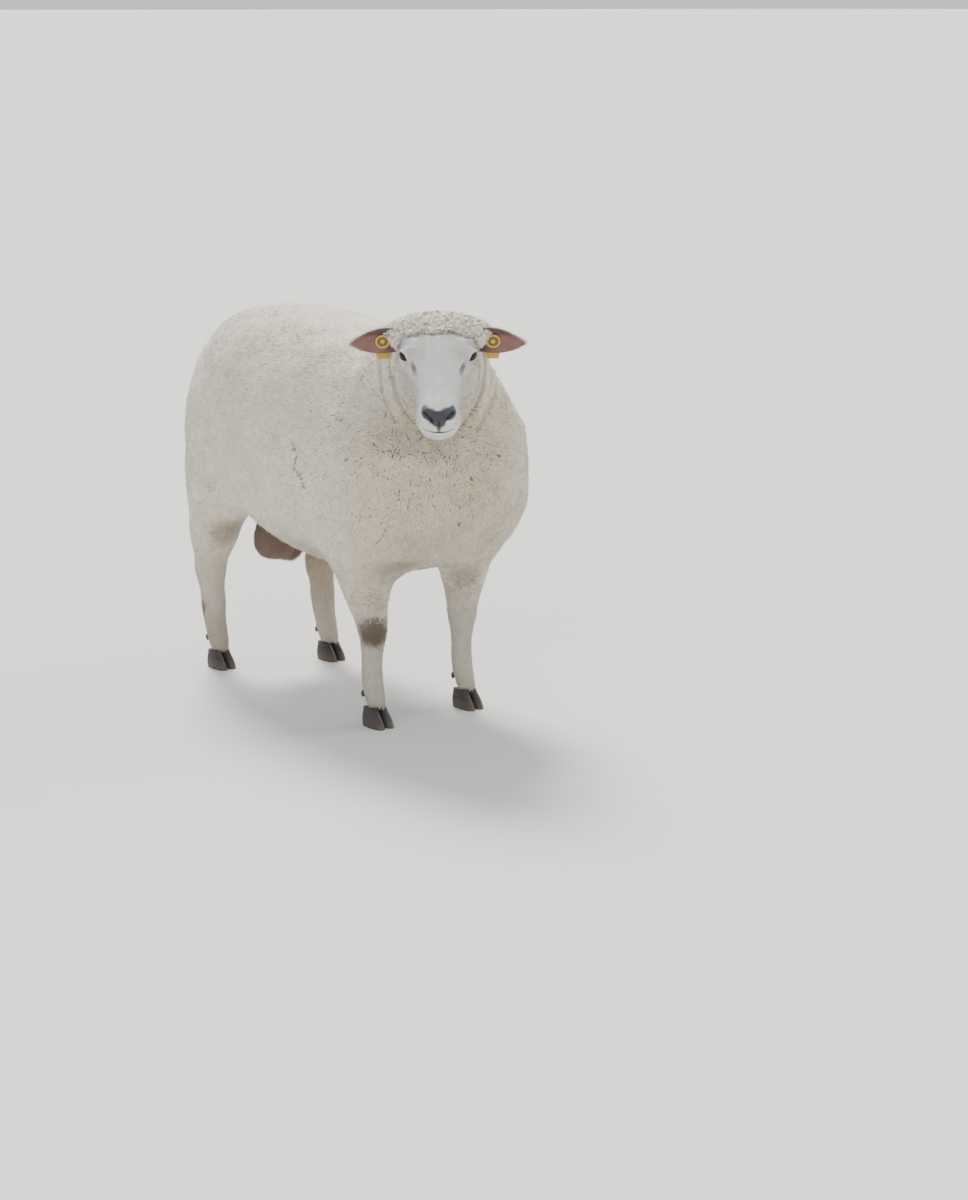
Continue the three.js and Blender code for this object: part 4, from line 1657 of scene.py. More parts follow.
@dataclass
class Tufts:
    """Many tufts of one kind as one closed mesh, each a tapering three-sided tube."""

    PATCH = 0.003
    PLUSH = 0.6  # how far a tuft is shaded as the hide under it is

    nap: Nap
    roots: Roots
    centres: Roots | None  # the middle root of each one's staple
    seed: int

    def spine(self, share: float) -> Array:
        """Places at a share of each tuft's length.

        Args:
            share: The share, from 0 to 1.

        Returns:
            The places, as rows.
        """
        places = self.roots.path(self.nap, share)
        if self.centres is None:
            return places
        pull = self.nap.gather * share**1.3 * self.roots.gather[:, None]
        return places + (self.centres.path(self.nap, share) - places) * pull

    def build(self, name: str, unwrap: Array, colours: Array, width: Array) -> Piece:
        """Makes the mesh.

        Args:
            name: Its name.
            unwrap: The place of each root on the unwrap, from 0 to 1.
            colours: The colour of each root.
            width: The width of each tuft, against the usual one.

        Returns:
            The mesh object, with its map and its stored values.
        """
        count, rings = len(self.roots.points), len(self.nap.levels)
        levels = [0.0, *self.nap.levels, 1.0] if self.nap.pointed else [*self.nap.levels, 1.0]
        stops = [self.spine(level) for level in levels]
        twist = np.random.default_rng(self.seed).uniform(0, 2 * math.pi, count)
        sets = [stops.pop(0)] if self.nap.pointed else []
        for k in range(rings):
            before = stops[k - 1] if k else self.spine(0.0) - 0.001 * self.roots.normals
            along = unit(stops[k + 1] - before)
            across = unit(np.cross(along, self.roots.lie + 0.3 * self.roots.normals))
            over = np.cross(along, across)
            radius = self.nap.radius * MM * self.nap.widths[k] * width
            for corner in range(3):
                angle = twist + corner * 2 * math.pi / 3
                offset = np.cos(angle)[:, None] * across + np.sin(angle)[:, None] * over
                sets.append(stops[k] + offset * radius[:, None])
        sets.append(stops[-1])
        points = np.stack(sets, 1).reshape(-1, 3)
        each = points.shape[0] // count
        faces, map_faces = self.pattern(rings)
        first = (np.arange(count) * each)[:, None, None]
        item = mesh_object(name, points, (faces[None] + first).reshape(-1, 3))
        own = normals_of(item).reshape(count, each, 3)
        soft = unit(own * (1.0 - self.PLUSH) + self.roots.normals[:, None, :] * self.PLUSH)
        item.data.normals_split_custom_set_from_vertices(soft.reshape(-1, 3))
        spots = unwrap[:, None, None, :] + (map_faces[None] - 0.5) * self.PATCH
        layer = item.data.uv_layers.new(name="OFBake")
        layer.uv.foreach_set("vector", spots.astype(np.float32).ravel())
        levels = np.repeat(levels, ([1] if self.nap.pointed else []) + [3] * rings + [1])
        paint(item, "pelt", np.repeat(colours, each, axis=0))
        paint(item, "tone", np.repeat(self.roots.tone, each))
        paint(item, "along", np.tile(levels, count))
        return item

    def pattern(self, rings: int) -> tuple[Array, Array]:
        """The faces of one tuft, and the place of each corner on its patch, from 0 to 1.

        Args:
            rings: How many rings it has.

        Returns:
            The vertex numbers, and the places.
        """
        start = int(self.nap.pointed)
        tip = start + 3 * rings
        faces, spots = [], []
        if not self.nap.pointed:
            faces, spots = [(0, 1, 2)], [((0.0, 0.0), (0.5, 0.0), (0.25, 0.2))]
        top = [0.2 + 0.8 * level for level in (*self.nap.levels, 1.0)]
        for k in range(rings):
            for corner in range(3):
                after = (corner + 1) % 3
                left, right = corner / 3, (corner + 1) / 3
                a, b = start + 3 * k + corner, start + 3 * k + after
                if k == 0 and self.nap.pointed:
                    faces.append((0, a, b))
                    spots.append((((left + right) / 2, 0.0), (left, top[0]), (right, top[0])))
                if k == rings - 1:
                    faces.append((a, tip, b))
                    spots.append(((left, top[k]), ((left + right) / 2, 1.0), (right, top[k])))
                    continue
                faces += [(a, a + 3, b), (b, a + 3, b + 3)]
                spots += [((left, top[k]), (left, top[k + 1]), (right, top[k])),
                          ((right, top[k]), (left, top[k + 1]), (right, top[k + 1]))]
        return np.array(faces)[:, ::-1], np.array(spots)[:, ::-1]


@dataclass(frozen=True)
class Region:
    """One piece of the coat, and how the skin under it unwraps."""

    name: str
    origin: Triple
    axis: Triple
    domed: bool = False

    def unwrap(self, points: Array) -> Array:
        """Lays the skin flat round the region's axis, or from its pole, to fill 0 to 1.

        Args:
            points: Places, as rows.

        Returns:
            Their places on the unwrap, as rows.
        """
        axis = unit(np.array(self.axis))
        other = (0.31, 0.27, 0.91) if abs(axis[2]) < 0.8 else (0.0, 1.0, 0.0)
        start = unit(np.cross(axis, other))
        offset = points - np.array(self.origin)
        height = offset @ axis
        x, y = offset @ start, offset @ np.cross(axis, start)
        if self.domed:
            tilt = np.arctan2(np.hypot(x, y), height) / np.maximum(np.hypot(x, y), 1e-9)
            flat = np.stack([x * tilt, y * tilt], 1)
        else:
            flat = np.stack([np.arctan2(y, x), height], 1)
        low, high = flat.min(0), flat.max(0)
        return 0.01 + 0.98 * (flat - low) / (high - low)


@dataclass(frozen=True)
class HairPatch:
    """A part of the skin that has short hair."""

    region: Region
    share: Array  # how densely each vertex of the skin is haired, from 0 to 1
    spacing: float  # in millimetres
    height: float


@dataclass
class Coat:
    """All the wool and hair."""

    SPACING = 3.25 * MM
    FINE_SPACING = 2.3 * MM  # on the head
    STAPLE = 15.0 * MM
    BODY_AXIS = (0.0, 0.0, 0.56)
    BELT = 38  # how far up and down from level the sides reach round it, in degrees
    BREAST_END, RUMP_START = -0.30, 0.33  # along the body, in metres
    LEG_REACH, LEG_TOP = 0.125, 0.40  # of the wool that is a leg's own, in metres
    BALD = 0.88  # the share of short hair past which no wool grows
    EYE_ROOM = 0.019  # round each globe's middle, in metres, where none grows either
    JITTER = 0.36  # how far a root strays, against the spacing
    WISPY = 0.16  # the share of tufts that have a fine wisp
    FEWEST = 50  # roots that make a piece
    FLANK_CRACK = [(-0.123, 0.566), (-0.130, 0.556), (-0.142, 0.545), (-0.137, 0.530), (-0.135, 0.518),
                   (-0.150, 0.506), (-0.160, 0.497), (-0.168, 0.483)]  # on the right side, along and up

    anatomy: Anatomy
    markings: Markings

    def __post_init__(self) -> None:
        """Starts the random numbers."""
        self.random = np.random.default_rng(SEED)

    def lie(self, points: Array, normals: Array) -> Array:
        """The way the coat lies: down and back on the body, and away from the face on the head.

        Args:
            points: Places, as rows.
            normals: The normals there.

        Returns:
            The directions, as rows.
        """
        head = self.anatomy.head
        local = head.local(points)
        side = np.clip(local[:, 0] / 60.0, -1.0, 1.0)
        body = np.tile([0.0, 0.42, -0.85], (len(points), 1))
        neck = rows(0.35 * side, 0.15, -0.9)
        body = np.where(self.anatomy.in_neck(points)[:, None], neck, body)
        poll = smooth(-35.0, 5.0, local[:, 2])[:, None]
        over = head.turned(rows(0.7 * side, -0.75, -0.2))
        away = head.turned(rows(0.45 * side, 0.45, -0.75))
        lie = np.where(self.anatomy.in_head(points)[:, None], over * poll + away * (1 - poll), body)
        turn = 0.75 * ripple(points, 0.07, 3.0) + 0.35 * ripple(points, 0.02, 9.0)
        turn = turn + self.random.normal(0, 0.18, len(points))
        return combed(lie, normals, turn)

    def hair_lie(self, points: Array, normals: Array) -> Array:
        """The way short hair lies: to the nose, back on cheeks, out on ears and down the legs.

        Args:
            points: Places, as rows.
            normals: The normals there.

        Returns:
            The directions, as rows.
        """
        head = self.anatomy.head
        local = head.local(points)
        side = np.sign(local[:, 0])
        cheek = smooth(-25.0, -55.0, local[:, 2])[:, None]
        down_nose = rows(0.35 * side, -0.9, 0.0)
        back = rows(0.1 * side, 0.8, -0.5)
        out = rows(side, 0.1, 0.0)
        face = np.where(np.abs(local[:, :1]) > EAR_FROM, out, down_nose * (1 - cheek) + back * cheek)
        on_head = self.anatomy.in_head(points)[:, None] & (np.abs(local[:, 2:]) < 130)
        lie = np.where(on_head, head.turned(face), np.array([0.0, 0.1, -1.0]))
        turn = 0.3 * ripple(points, 0.02, 5.0) + self.random.normal(0, 0.2, len(points))
        return combed(lie, normals, turn)

    def creases(self, points: Array) -> Array:
        """0 in the narrow creases where the fleece parts, 1 elsewhere.

        Args:
            points: Places, as rows.

        Returns:
            A number for each of them.
        """
        bends = np.abs(ripple(points, 0.055, 21.0)) + 0.25 * np.abs(ripple(points, 0.02, 4.0))
        where = ripple(points, 0.06, 55.0)
        front = smooth(0.0, -0.28, points[:, 1])
        parted = smooth(0.06, 0.025, bends) * smooth(-0.05, 0.1, where) * (0.08 + 0.8 * front)
        return 1.0 - np.maximum.reduce([parted, self.crack(points), self.anatomy.ruff_folds(points)])

    def crack(self, points: Array) -> Array:
        """1 in the long split of the fleece on the right flank, 0 elsewhere.

        Args:
            points: Places, as rows.

        Returns:
            A number for each of them.
        """
        line = curve_through(np.array(self.FLANK_CRACK), 60)
        near = (np.abs(points[:, 1:] - line.mean(0)).max(1) < 0.12) & (points[:, 0] < -0.15)
        deep = np.zeros(len(points))
        deep[near] = smooth(0.0050, 0.0030, distance_to(line, points[near, 1:])[0])
        return deep

    def wool_roots(self, skin: Piece, spacing: float, on_head: bool) -> Roots:
        """Evenly spread roots over the woolly hide.

        Args:
            skin: The skin before its face is worked.
            spacing: How far apart the roots are, in metres.
            on_head: Whether they are the head's roots or the body's.

        Returns:
            The roots.
        """
        ground = skin.copy()
        ground.data = skin.data.copy()
        bpy.context.scene.collection.objects.link(ground)
        ground.data.remesh_voxel_size = spacing
        pick(ground)
        bpy.ops.object.voxel_remesh()
        web = Web(ground)
        points, normals = points_of(ground), unit(web.blur(normals_of(ground), 2))
        depth = web.blur(self.anatomy.depth(points), 3)
        bpy.data.objects.remove(ground)
        anatomy = self.anatomy
        places = anatomy.head.eyes.values()
        eyes = np.min([lengths(points - place) for place in places], axis=0)
        short = anatomy.short(points) + self.random.normal(0, 0.035, len(points))
        under = smooth(-0.80, -0.93, normals[:, 2]) * (points[:, 2] > 0.2)
        hidden = np.maximum(under, 0.6 * self.inner_leg(points, normals))
        kept = (anatomy.in_head(points) == on_head) & (short < self.BALD) & (eyes > self.EYE_ROOM)
        kept &= self.random.random(len(points)) > 0.45 * hidden
        points, normals, depth = points[kept], normals[kept], depth[kept]
        hidden, short = hidden[kept], short[kept]
        count = len(points)
        jitter = self.random.uniform(-self.JITTER, self.JITTER, points.shape) * spacing
        points = points + jitter - normals * (jitter * normals).sum(1, keepdims=True)
        creases = self.creases(points)
        height = depth * (0.3 + 0.7 * creases) * self.random.uniform(0.90, 1.05, count)
        height = height * (1.0 - 0.45 * smooth(0.5, self.BALD, short))
        # Tufts in the creases, the folds round the face and the split on the flank are darkened: painted
        # shade.
        tone = self.random.normal(1.0, 0.03, count) * (0.50 + 0.50 * creases)
        tone = tone * (1.0 - 0.5 * self.crack(points))
        return Roots(points, normals, self.lie(points, normals), height, tone, np.zeros(count),
                     self.random.uniform(0.6, 1.0, count), 1.0 + 0.35 * hidden)

    def inner_leg(self, points: Array, normals: Array) -> Array:
        """1 on the inner sides of the thighs and forearms, where fewer tufts do, 0 elsewhere."""
        inward = -normals[:, 0] * np.sign(points[:, 0])
        return smooth(0.4, 0.8, inward) * (np.abs(points[:, 0]) > 0.03) * (points[:, 2] < 0.42)

    def staples(self, roots: Roots) -> Array:
        """The number of the root in the middle of each root's staple.

        Args:
            roots: The roots.

        Returns:
            The numbers.
        """
        count = len(roots.points)
        finer = np.where(self.anatomy.in_head(roots.points), 1.45, 1.0)[:, None]
        shifts = np.stack([ripple(roots.points, 0.05, k * 13.0) for k in range(3)], 1)
        cell = np.floor(roots.points * finer / self.STAPLE + 0.35 * shifts).astype(np.int64)
        key = (cell[:, 0] * 73856093) ^ (cell[:, 1] * 19349663) ^ (cell[:, 2] * 83492791)
        order = self.random.permutation(count)
        _, first = np.unique(key[order], return_index=True)
        centres = order[first]
        tree = kdtree.KDTree(len(centres))
        for number, place in zip(centres.tolist(), roots.points[centres].tolist()):
            tree.insert(place, number)
        tree.balance()
        return np.array([tree.find(place)[1] for place in roots.points.tolist()])

    def regions(self, points: Array) -> list[tuple[Region, Array]]:
        """Parts the roots into pieces.

        Args:
            points: The roots.

        Returns:
            Each region, and which roots are in it.
        """
        anatomy = self.anatomy
        head = anatomy.head
        left = np.ones(len(points), bool)
        found = []

        def take(region: Region, mask: Array) -> None:
            """Gives the roots of the mask that are left to a region.

            Args:
                region: The region.
                mask: Which roots it may take.
            """
            nonlocal left
            found.append((region, mask & left))
            left = left & ~mask

        middle = tuple(head.world([[0, 60, -40]])[0])
        on_head = anatomy.in_head(points)
        take(Region("wool_poll", middle, tuple(head.axes[2]), domed=True), on_head & self.poll(points))
        take(Region("wool_ruff", middle, tuple(head.axes[1])), on_head)
        take(Region("wool_neck", (-0.03, -0.33, 0.62), (-0.3, -0.8, 0.5)), anatomy.in_neck(points))
        low, high = (np.array(corner) for corner in anatomy.tail)
        take(Region("wool_tail", tuple((low + high) / 2), (0, 0, 1)), anatomy.in_tail(points))
        for leg in anatomy.legs:
            origin = (float(leg.line[0]), float(leg.line[1]), 0.3)
            mask = lengths(points[:, :2] - leg.line) < self.LEG_REACH
            mask &= points[:, 2] < self.LEG_TOP
            take(Region(f"wool_{leg.name}", origin, (0, 0, 1)), mask & (np.sign(points[:, 0]) == leg.side))
        breast = Region("wool_breast", (0, -0.15, 0.52), (0, -1, 0), domed=True)
        take(breast, points[:, 1] < self.BREAST_END)
        rump = Region("wool_rump", (0, 0.20, 0.56), (0, 1, 0), domed=True)
        take(rump, points[:, 1] > self.RUMP_START)
        angle = np.degrees(np.arctan2(points[:, 2] - self.BODY_AXIS[2], np.abs(points[:, 0])))
        for side, sign in SIDES.items():
            on_side = points[:, 0] * sign >= 0
            take(Region(f"wool_back_{side}", self.BODY_AXIS, (0, 1, 0)), on_side & (angle > self.BELT))
            take(Region(f"wool_side_{side}", self.BODY_AXIS, (0, 1, 0)), on_side & (angle > -self.BELT))
        take(Region("wool_belly", self.BODY_AXIS, (0, 1, 0)), np.ones(len(points), bool))
        return found

    def poll(self, points: Array) -> Array:
        """True on the curly cap between the ears."""
        local = self.anatomy.head.local(points)
        return self.anatomy.in_head(points) & (local[:, 2] + 4.0 * ripple(points, 0.02, 12.0) > 4.0)

    def build_wool(self, skin: Piece) -> list[Piece]:
        """Grows the wool.

        Args:
            skin: The skin before its face is worked.

        Returns:
            The pieces.
        """
        finish = WoolFinish().material()
        pieces = []
        for spacing, on_head in ((self.SPACING, False), (self.FINE_SPACING, True)):
            pieces += self.grow(self.wool_roots(skin, spacing, on_head), finish)
        return pieces

    def grow(self, roots: Roots, finish: Material) -> list[Piece]:
        """Grows wool on some roots.

        Args:
            roots: The roots.
            finish: The wool's material.

        Returns:
            One piece for each region that has roots.
        """
        middle = self.staples(roots)
        count = len(roots.points)
        curly = self.poll(roots.points)
        phase = self.random.uniform(0, 1, count)[middle]
        roots.phase = phase + self.random.normal(0, 0.06, count)
        staple_tone = self.random.normal(1.0, 0.035, count)[middle]
        staple_height = self.random.uniform(0.94, 1.04, count)[middle]
        staple_height = np.where(curly, self.random.uniform(0.80, 1.18, count)[middle], staple_height)
        apart = np.minimum(lengths(roots.points - roots.points[middle]) / self.STAPLE, 1.0)
        roots.height = roots.height * staple_height * (1.03 - (0.10 + 0.16 * curly) * apart)
        # Tufts far from their staple's middle are darkened, as painted shade between the staples; the
        # poll's tufts are lightened, as painted light on the lit cap, and darkened more between their
        # staples.
        roots.tone = roots.tone * staple_tone * (1.02 + 0.06 * curly - (0.05 + 0.07 * curly) * apart)
        colours = self.markings.colours(roots.points)
        width = self.random.uniform(0.85, 1.15, count) * np.clip(roots.height / 0.008, 0.72, 1.0)
        width = width * roots.breadth
        kinds = {"wool_poll": Growth.CURLS, "wool_ruff": Growth.RUFF}
        pieces = []
        for number, (region, mask) in enumerate(self.regions(roots.points)):
            if mask.sum() < self.FEWEST:
                continue
            kind = kinds.get(region.name, Growth.FLEECE)
            tufts = Tufts(NAPS[kind], roots.chosen(mask), roots.chosen(middle[mask]), SEED + number)
            unwrap = region.unwrap(roots.points[mask])
            body = tufts.build(region.name, unwrap, colours[mask], width[mask])
            few = self.random.random(int(mask.sum())) < self.WISPY
            fine = roots.chosen(mask).chosen(few)
            fine.height = fine.height * self.random.uniform(1.0, 1.4, len(fine.height)) + 0.7 * MM
            wisps = Tufts(NAPS[Growth.WISPS], fine, None, SEED + number)
            fine_wool = wisps.build("wisps", unwrap[few], colours[mask][few], width[mask][few])
            piece = join([body, fine_wool])
            piece.name = piece.data.name = region.name
            piece.data.materials.append(finish)
            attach(piece, ROOT)
            LOG.info("%s: %d tufts, %d faces", region.name, mask.sum(), len(piece.data.polygons))
            pieces.append(piece)
        return pieces

    def hair_roots(self, skin: Piece, chance: Array, spacing: float,
                   height: float) -> tuple[Roots, Array]:
        """Scattered roots of short hair.

        Args:
            skin: The finished skin.
            chance: How densely each of its vertices is haired, from 0 to 1.
            spacing: How far apart the roots are, in millimetres.
            height: How far the tips stand off, in millimetres.

        Returns:
            The roots, and the vertex near each one.
        """
        points, normals = points_of(skin), normals_of(skin)
        skin.data.calc_loop_triangles()
        flat = np.empty(len(skin.data.loop_triangles) * 3, np.int32)
        skin.data.loop_triangles.foreach_get("vertices", flat)
        corners = flat.reshape(-1, 3)
        corners = corners[chance[corners].min(1) > 0]
        a, b, c = (points[corners[:, k]] for k in range(3))
        area = 0.5 * lengths(np.cross(b - a, c - a)) * chance[corners].mean(1)
        tries = int(2.2 * area.sum() / (spacing * MM) ** 2)
        face = self.random.choice(len(corners), tries, p=area / area.sum())
        shares = self.random.dirichlet((1.0, 1.0, 1.0), tries)[..., None]
        places = (points[corners[face]] * shares).sum(1)
        cells = np.floor(places / (0.82 * spacing * MM)).astype(np.int64)
        _, kept = np.unique(cells @ np.array([73856093, 19349663, 83492791]), return_index=True)
        found, places = corners[face[kept], 0], places[kept]
        out = unit((normals[corners[face[kept]]] * shares[kept]).sum(1))
        count = len(kept)
        tall = height * MM * self.random.uniform(0.7, 1.25, count)
        lie, tone = self.hair_lie(places, out), self.random.normal(1.0, 0.025, count)
        none = np.zeros(count)
        return Roots(places, out, lie, tall, tone, none, none, np.ones(count)), found

    def build_hair(self, skin: Piece, blades_from: int) -> list[Piece]:
        """Grows the short hair of the face, ears, shins and scrotum.

        Args:
            skin: The finished skin.
            blades_from: The number of its first vertex on an ear.

        Returns:
            The pieces.
        """
        anatomy, head = self.anatomy, self.anatomy.head
        points, normals = points_of(skin), normals_of(skin)
        blades = np.arange(len(points)) >= blades_from
        local = head.local(points)
        side = np.where(local[:, 0] > 0, 1, -1)
        bare = self.markings.bare(points) > 0.3
        for name, opening in EYES_OPEN.items():
            offset = local - head.local(head.eyes[name][None])
            reach, _, _ = opening.measure(offset)
            bare |= (reach < 1.5) & (lengths(offset) < 26)  # the lids and the room of the eye
        for path in (Markings.MOUTH, Face.NOSTRIL):
            mirrored = head.to_left(local)
            close = np.abs(mirrored - np.array(path).mean(0)).max(1) < 40
            bare[close] |= Markings.gap_to(path, mirrored[close])[0] < 3.6
        inside = np.max([Ear(name, head).inside(points, normals) for name in SIDES], axis=0)
        finish = HairFinish().material()
        middle = tuple(head.world([[0, -30, -30]])[0])
        face = smooth(0.3, 0.6, anatomy.face(points) * ~blades)
        patches = [HairPatch(Region("hair_face", middle, tuple(head.axes[1])), face, 2.0, 0.8)]
        for name, sign in SIDES.items():
            share = (blades & (side == sign) & (np.abs(local[:, 0]) > EAR_FROM)) * (1 - 0.8 * inside)
            middle = tuple(head.world([[sign * 110, 42, -14]])[0])
            region = Region(f"hair_ear_{name}", middle, tuple(head.axes[0]))
            patches.append(HairPatch(region, share, 1.7, 0.8))
        for leg in anatomy.legs:
            share = leg.near(points) * smooth(0.12, 0.4, anatomy.shin(points)) * ~blades
            middle = (float(leg.line[0]), float(leg.line[1]), 0.15)
            patches.append(HairPatch(Region(f"hair_{leg.name}", middle, (0, 0, 1)), share, 2.6, 1.1))
        low, high = (np.array(corner) for corner in anatomy.pouch)
        region = Region("hair_scrotum", tuple((low + high) / 2), (0, 0, 1))
        patches.append(HairPatch(region, anatomy.in_pouch(points), 3.2, 1.7))
        pieces = []
        for number, patch in enumerate(patches):
            region = patch.region
            roots, found = self.hair_roots(skin, patch.share * ~bare, patch.spacing, patch.height)
            colours = self.markings.colours(roots.points)
            if "ear" in region.name:
                ear = Ear(region.name.removeprefix("hair_ear_"), head)
                colours = ear.colours(roots.points, smooth(0.8, 1.0, inside[found]))
                roots.height = roots.height * (2.3 - 1.5 * inside[found])
            longer = anatomy.long_haired(roots.points) if "leg" in region.name else 1.0
            roots.height = roots.height * longer
            tufts = Tufts(NAPS[Growth.HAIR], roots, None, SEED + 50 + number)
            width = self.random.uniform(0.8, 1.2, len(found)) * (1.0 + 0.4 * ("leg" in region.name))
            width = width * longer**0.6
            piece = tufts.build(region.name, region.unwrap(roots.points), colours, width)
            piece.data.materials.append(finish)
            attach(piece, ROOT)
            LOG.info("%s: %d tufts, %d faces", region.name, len(found), len(piece.data.polygons))
            pieces.append(piece)
        return pieces


@dataclass(frozen=True)
class HairFinish:
    """Short pale hair, a little glossier than wool."""

    root_shade: float = 0.93

    def material(self) -> Material:
        """Makes the material.

        Returns:
            The material.
        """
        g = Graph("hair")
        fine = g.noise(900.0, 2.0)
        tone = g.times(g.stored("tone"), g.range(g.stored("along"), 0.0, 0.8, self.root_shade, 1.05))
        tone = g.times(tone, g.vary(fine, 0.92, 1.06))
        g.shade(base_color=g.scaled(g.stored("pelt", True), tone), roughness=g.vary(fine, 0.6, 0.72),
                normal=g.bump(fine, 0.0003, 0.4), sheen_weight=0.2, sheen_roughness=0.5,
                specular_ior_level=0.35)
        return g.material


@dataclass(frozen=True)
class WoolFinish:
    """Greasy cream wool, yellower with grease and darker with painted shade towards the hide, palest at
    its tips.
    """

    grease: Triple = (0.93, 0.86, 0.74)
    root_shade: float = 0.88

    def material(self) -> Material:
        """Makes the material.

        Returns:
            The material.
        """
        g = Graph("wool")
        along = g.stored("along")
        pelt = g.stored("pelt", True)
        deep = g.blend("MULTIPLY", g.range(along, 0.0, 0.9, 0.75, 0.0), pelt, self.grease)
        fibre = g.noise(700.0, 3.0, 0.6)
        cloud = g.noise(14.0, 3.0, 0.5)
        tone = g.times(g.stored("tone"), g.vary(fibre, 0.88, 1.08))
        tone = g.times(tone, g.vary(cloud, 0.95, 1.04))
        tone = g.times(tone, g.range(along, 0.0, 0.7, self.root_shade, 1.0))
        g.shade(base_color=g.scaled(deep, tone), roughness=g.vary(fibre, 0.82, 0.95),
                normal=g.bump(fibre, 0.0008, 0.6), sheen_weight=0.35, sheen_roughness=0.5,
                specular_ior_level=0.25)
        return g.material


# ---- eyes, hooves and tags
@dataclass
class Eye:
    """An eyeball with a clear bulge over its iris, in millimetres."""

    side: str
    head: HeadFrame
    radius: float = 14.5
    bulge: float = 1.0

    def build(self) -> Piece:
        """Makes the eyeball, with the places of its iris stored on it.

        Returns:
            The eyeball.
        """
        opening = EYES_OPEN[self.side]
        ball = new_ball(64, 40)
        ball.name = f"eyeball_{self.side}"
        axes = opening.axes()
        sphere = points_of(ball)
        facing = sphere[:, 2]
        radius = self.radius + self.bulge * smooth(0.80, 0.97, facing)
        turned = sphere @ axes
        centre = self.head.local(self.head.eyes[self.side][None])
        set_points(ball, self.head.world(turned * radius[:, None] + centre))
        paint(ball, "gaze", sphere)
        pick(ball)
        bpy.ops.object.shade_smooth()
        edit_whole(ball, bpy.ops.mesh.normals_make_consistent, inside=False)
        ball.data.materials.append(EyeFinish().material())
        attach(ball, ROOT)
        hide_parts(f"eye_{self.side}")
        return ball


@dataclass
class Hoof:
    """The two claws and two dewclaws of one foot, in millimetres."""

    leg: Leg
    rounding: float = 4.5
    crown_inset: float = 0.17
    dew_height: float = 64.0
    dew_apart: float = 13.0

    def claw(self, which: str) -> Piece:
        """A rounded copy of one claw.

        Args:
            which: The inner or the outer one.

        Returns:
            The copy.
        """
        copy = plain_copy(f"{self.leg.name}_claw_{which}")
        apply(copy, "BEVEL", width=self.rounding * MM, segments=3, limit_method="ANGLE",
              angle_limit=math.radians(32), harden_normals=False)
        edit_whole(copy, bpy.ops.mesh.subdivide, number_cuts=3)
        points = points_of(copy)
        top = points[:, 2].max()
        narrow = smooth(0.35, 1.0, points[:, 2] / top)
        crown = points[points[:, 2] > 0.9 * top].mean(0)
        inner = self.leg.foot[0]
        points[:, 1] += (crown[1] - points[:, 1]) * self.crown_inset * narrow
        points[:, 0] += (inner - points[:, 0]) * self.crown_inset * narrow
        set_points(copy, points)
        return copy

    def dewclaw(self, skin: Array, apart: float) -> Piece:
        """A small blunt horn behind the pastern.

        Args:
            skin: The vertices of the skin.
            apart: How far it stands from the middle of the leg.

        Returns:
            The dewclaw.
        """
        x, z = self.leg.foot[0] + apart * MM, self.dew_height * MM
        near = skin[(np.abs(skin[:, 0] - x) < 0.006) & (np.abs(skin[:, 2] - z) < 0.008)
                    & (lengths(skin[:, :2] - self.leg.line) < 0.09)]
        back = near[:, 1].max() if len(near) else self.leg.line[1] + 0.03
        horn = new_ball(20, 12)
        shape = points_of(horn)
        width = np.where(shape[:, 2] < 0, 1.0 + 0.35 * shape[:, 2], 1.0)[:, None]
        sizes = np.array([0.0058, 0.0062, 0.0092])
        place = np.array([x, back - 0.0022, z])
        leaning = rows(0.0, -0.0035 * shape[:, 2], 0.0)
        narrow = np.hstack([width, width, np.ones_like(width)])
        set_points(horn, shape * sizes * narrow + leaning + place)
        return horn

    def build(self, skin: Array) -> Piece:
        """Makes the foot's horn.

        Args:
            skin: The vertices of the skin, for the dewclaws' places.

        Returns:
            The piece.
        """
        pieces = [self.claw("inner"), self.claw("outer")]
        pieces += [self.dewclaw(skin, side * self.dew_apart) for side in (-1, 1)]
        foot = join(pieces)
        foot.name = foot.data.name = f"hooves_{self.leg.name}"
        pick(foot)
        bpy.ops.object.shade_smooth_by_angle(angle=math.radians(50))
        foot.data.materials.clear()
        foot.data.materials.append(HornFinish().material())
        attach(foot, ROOT)
        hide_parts(f"{self.leg.name}_claw_inner", f"{self.leg.name}_claw_outer")
        return foot


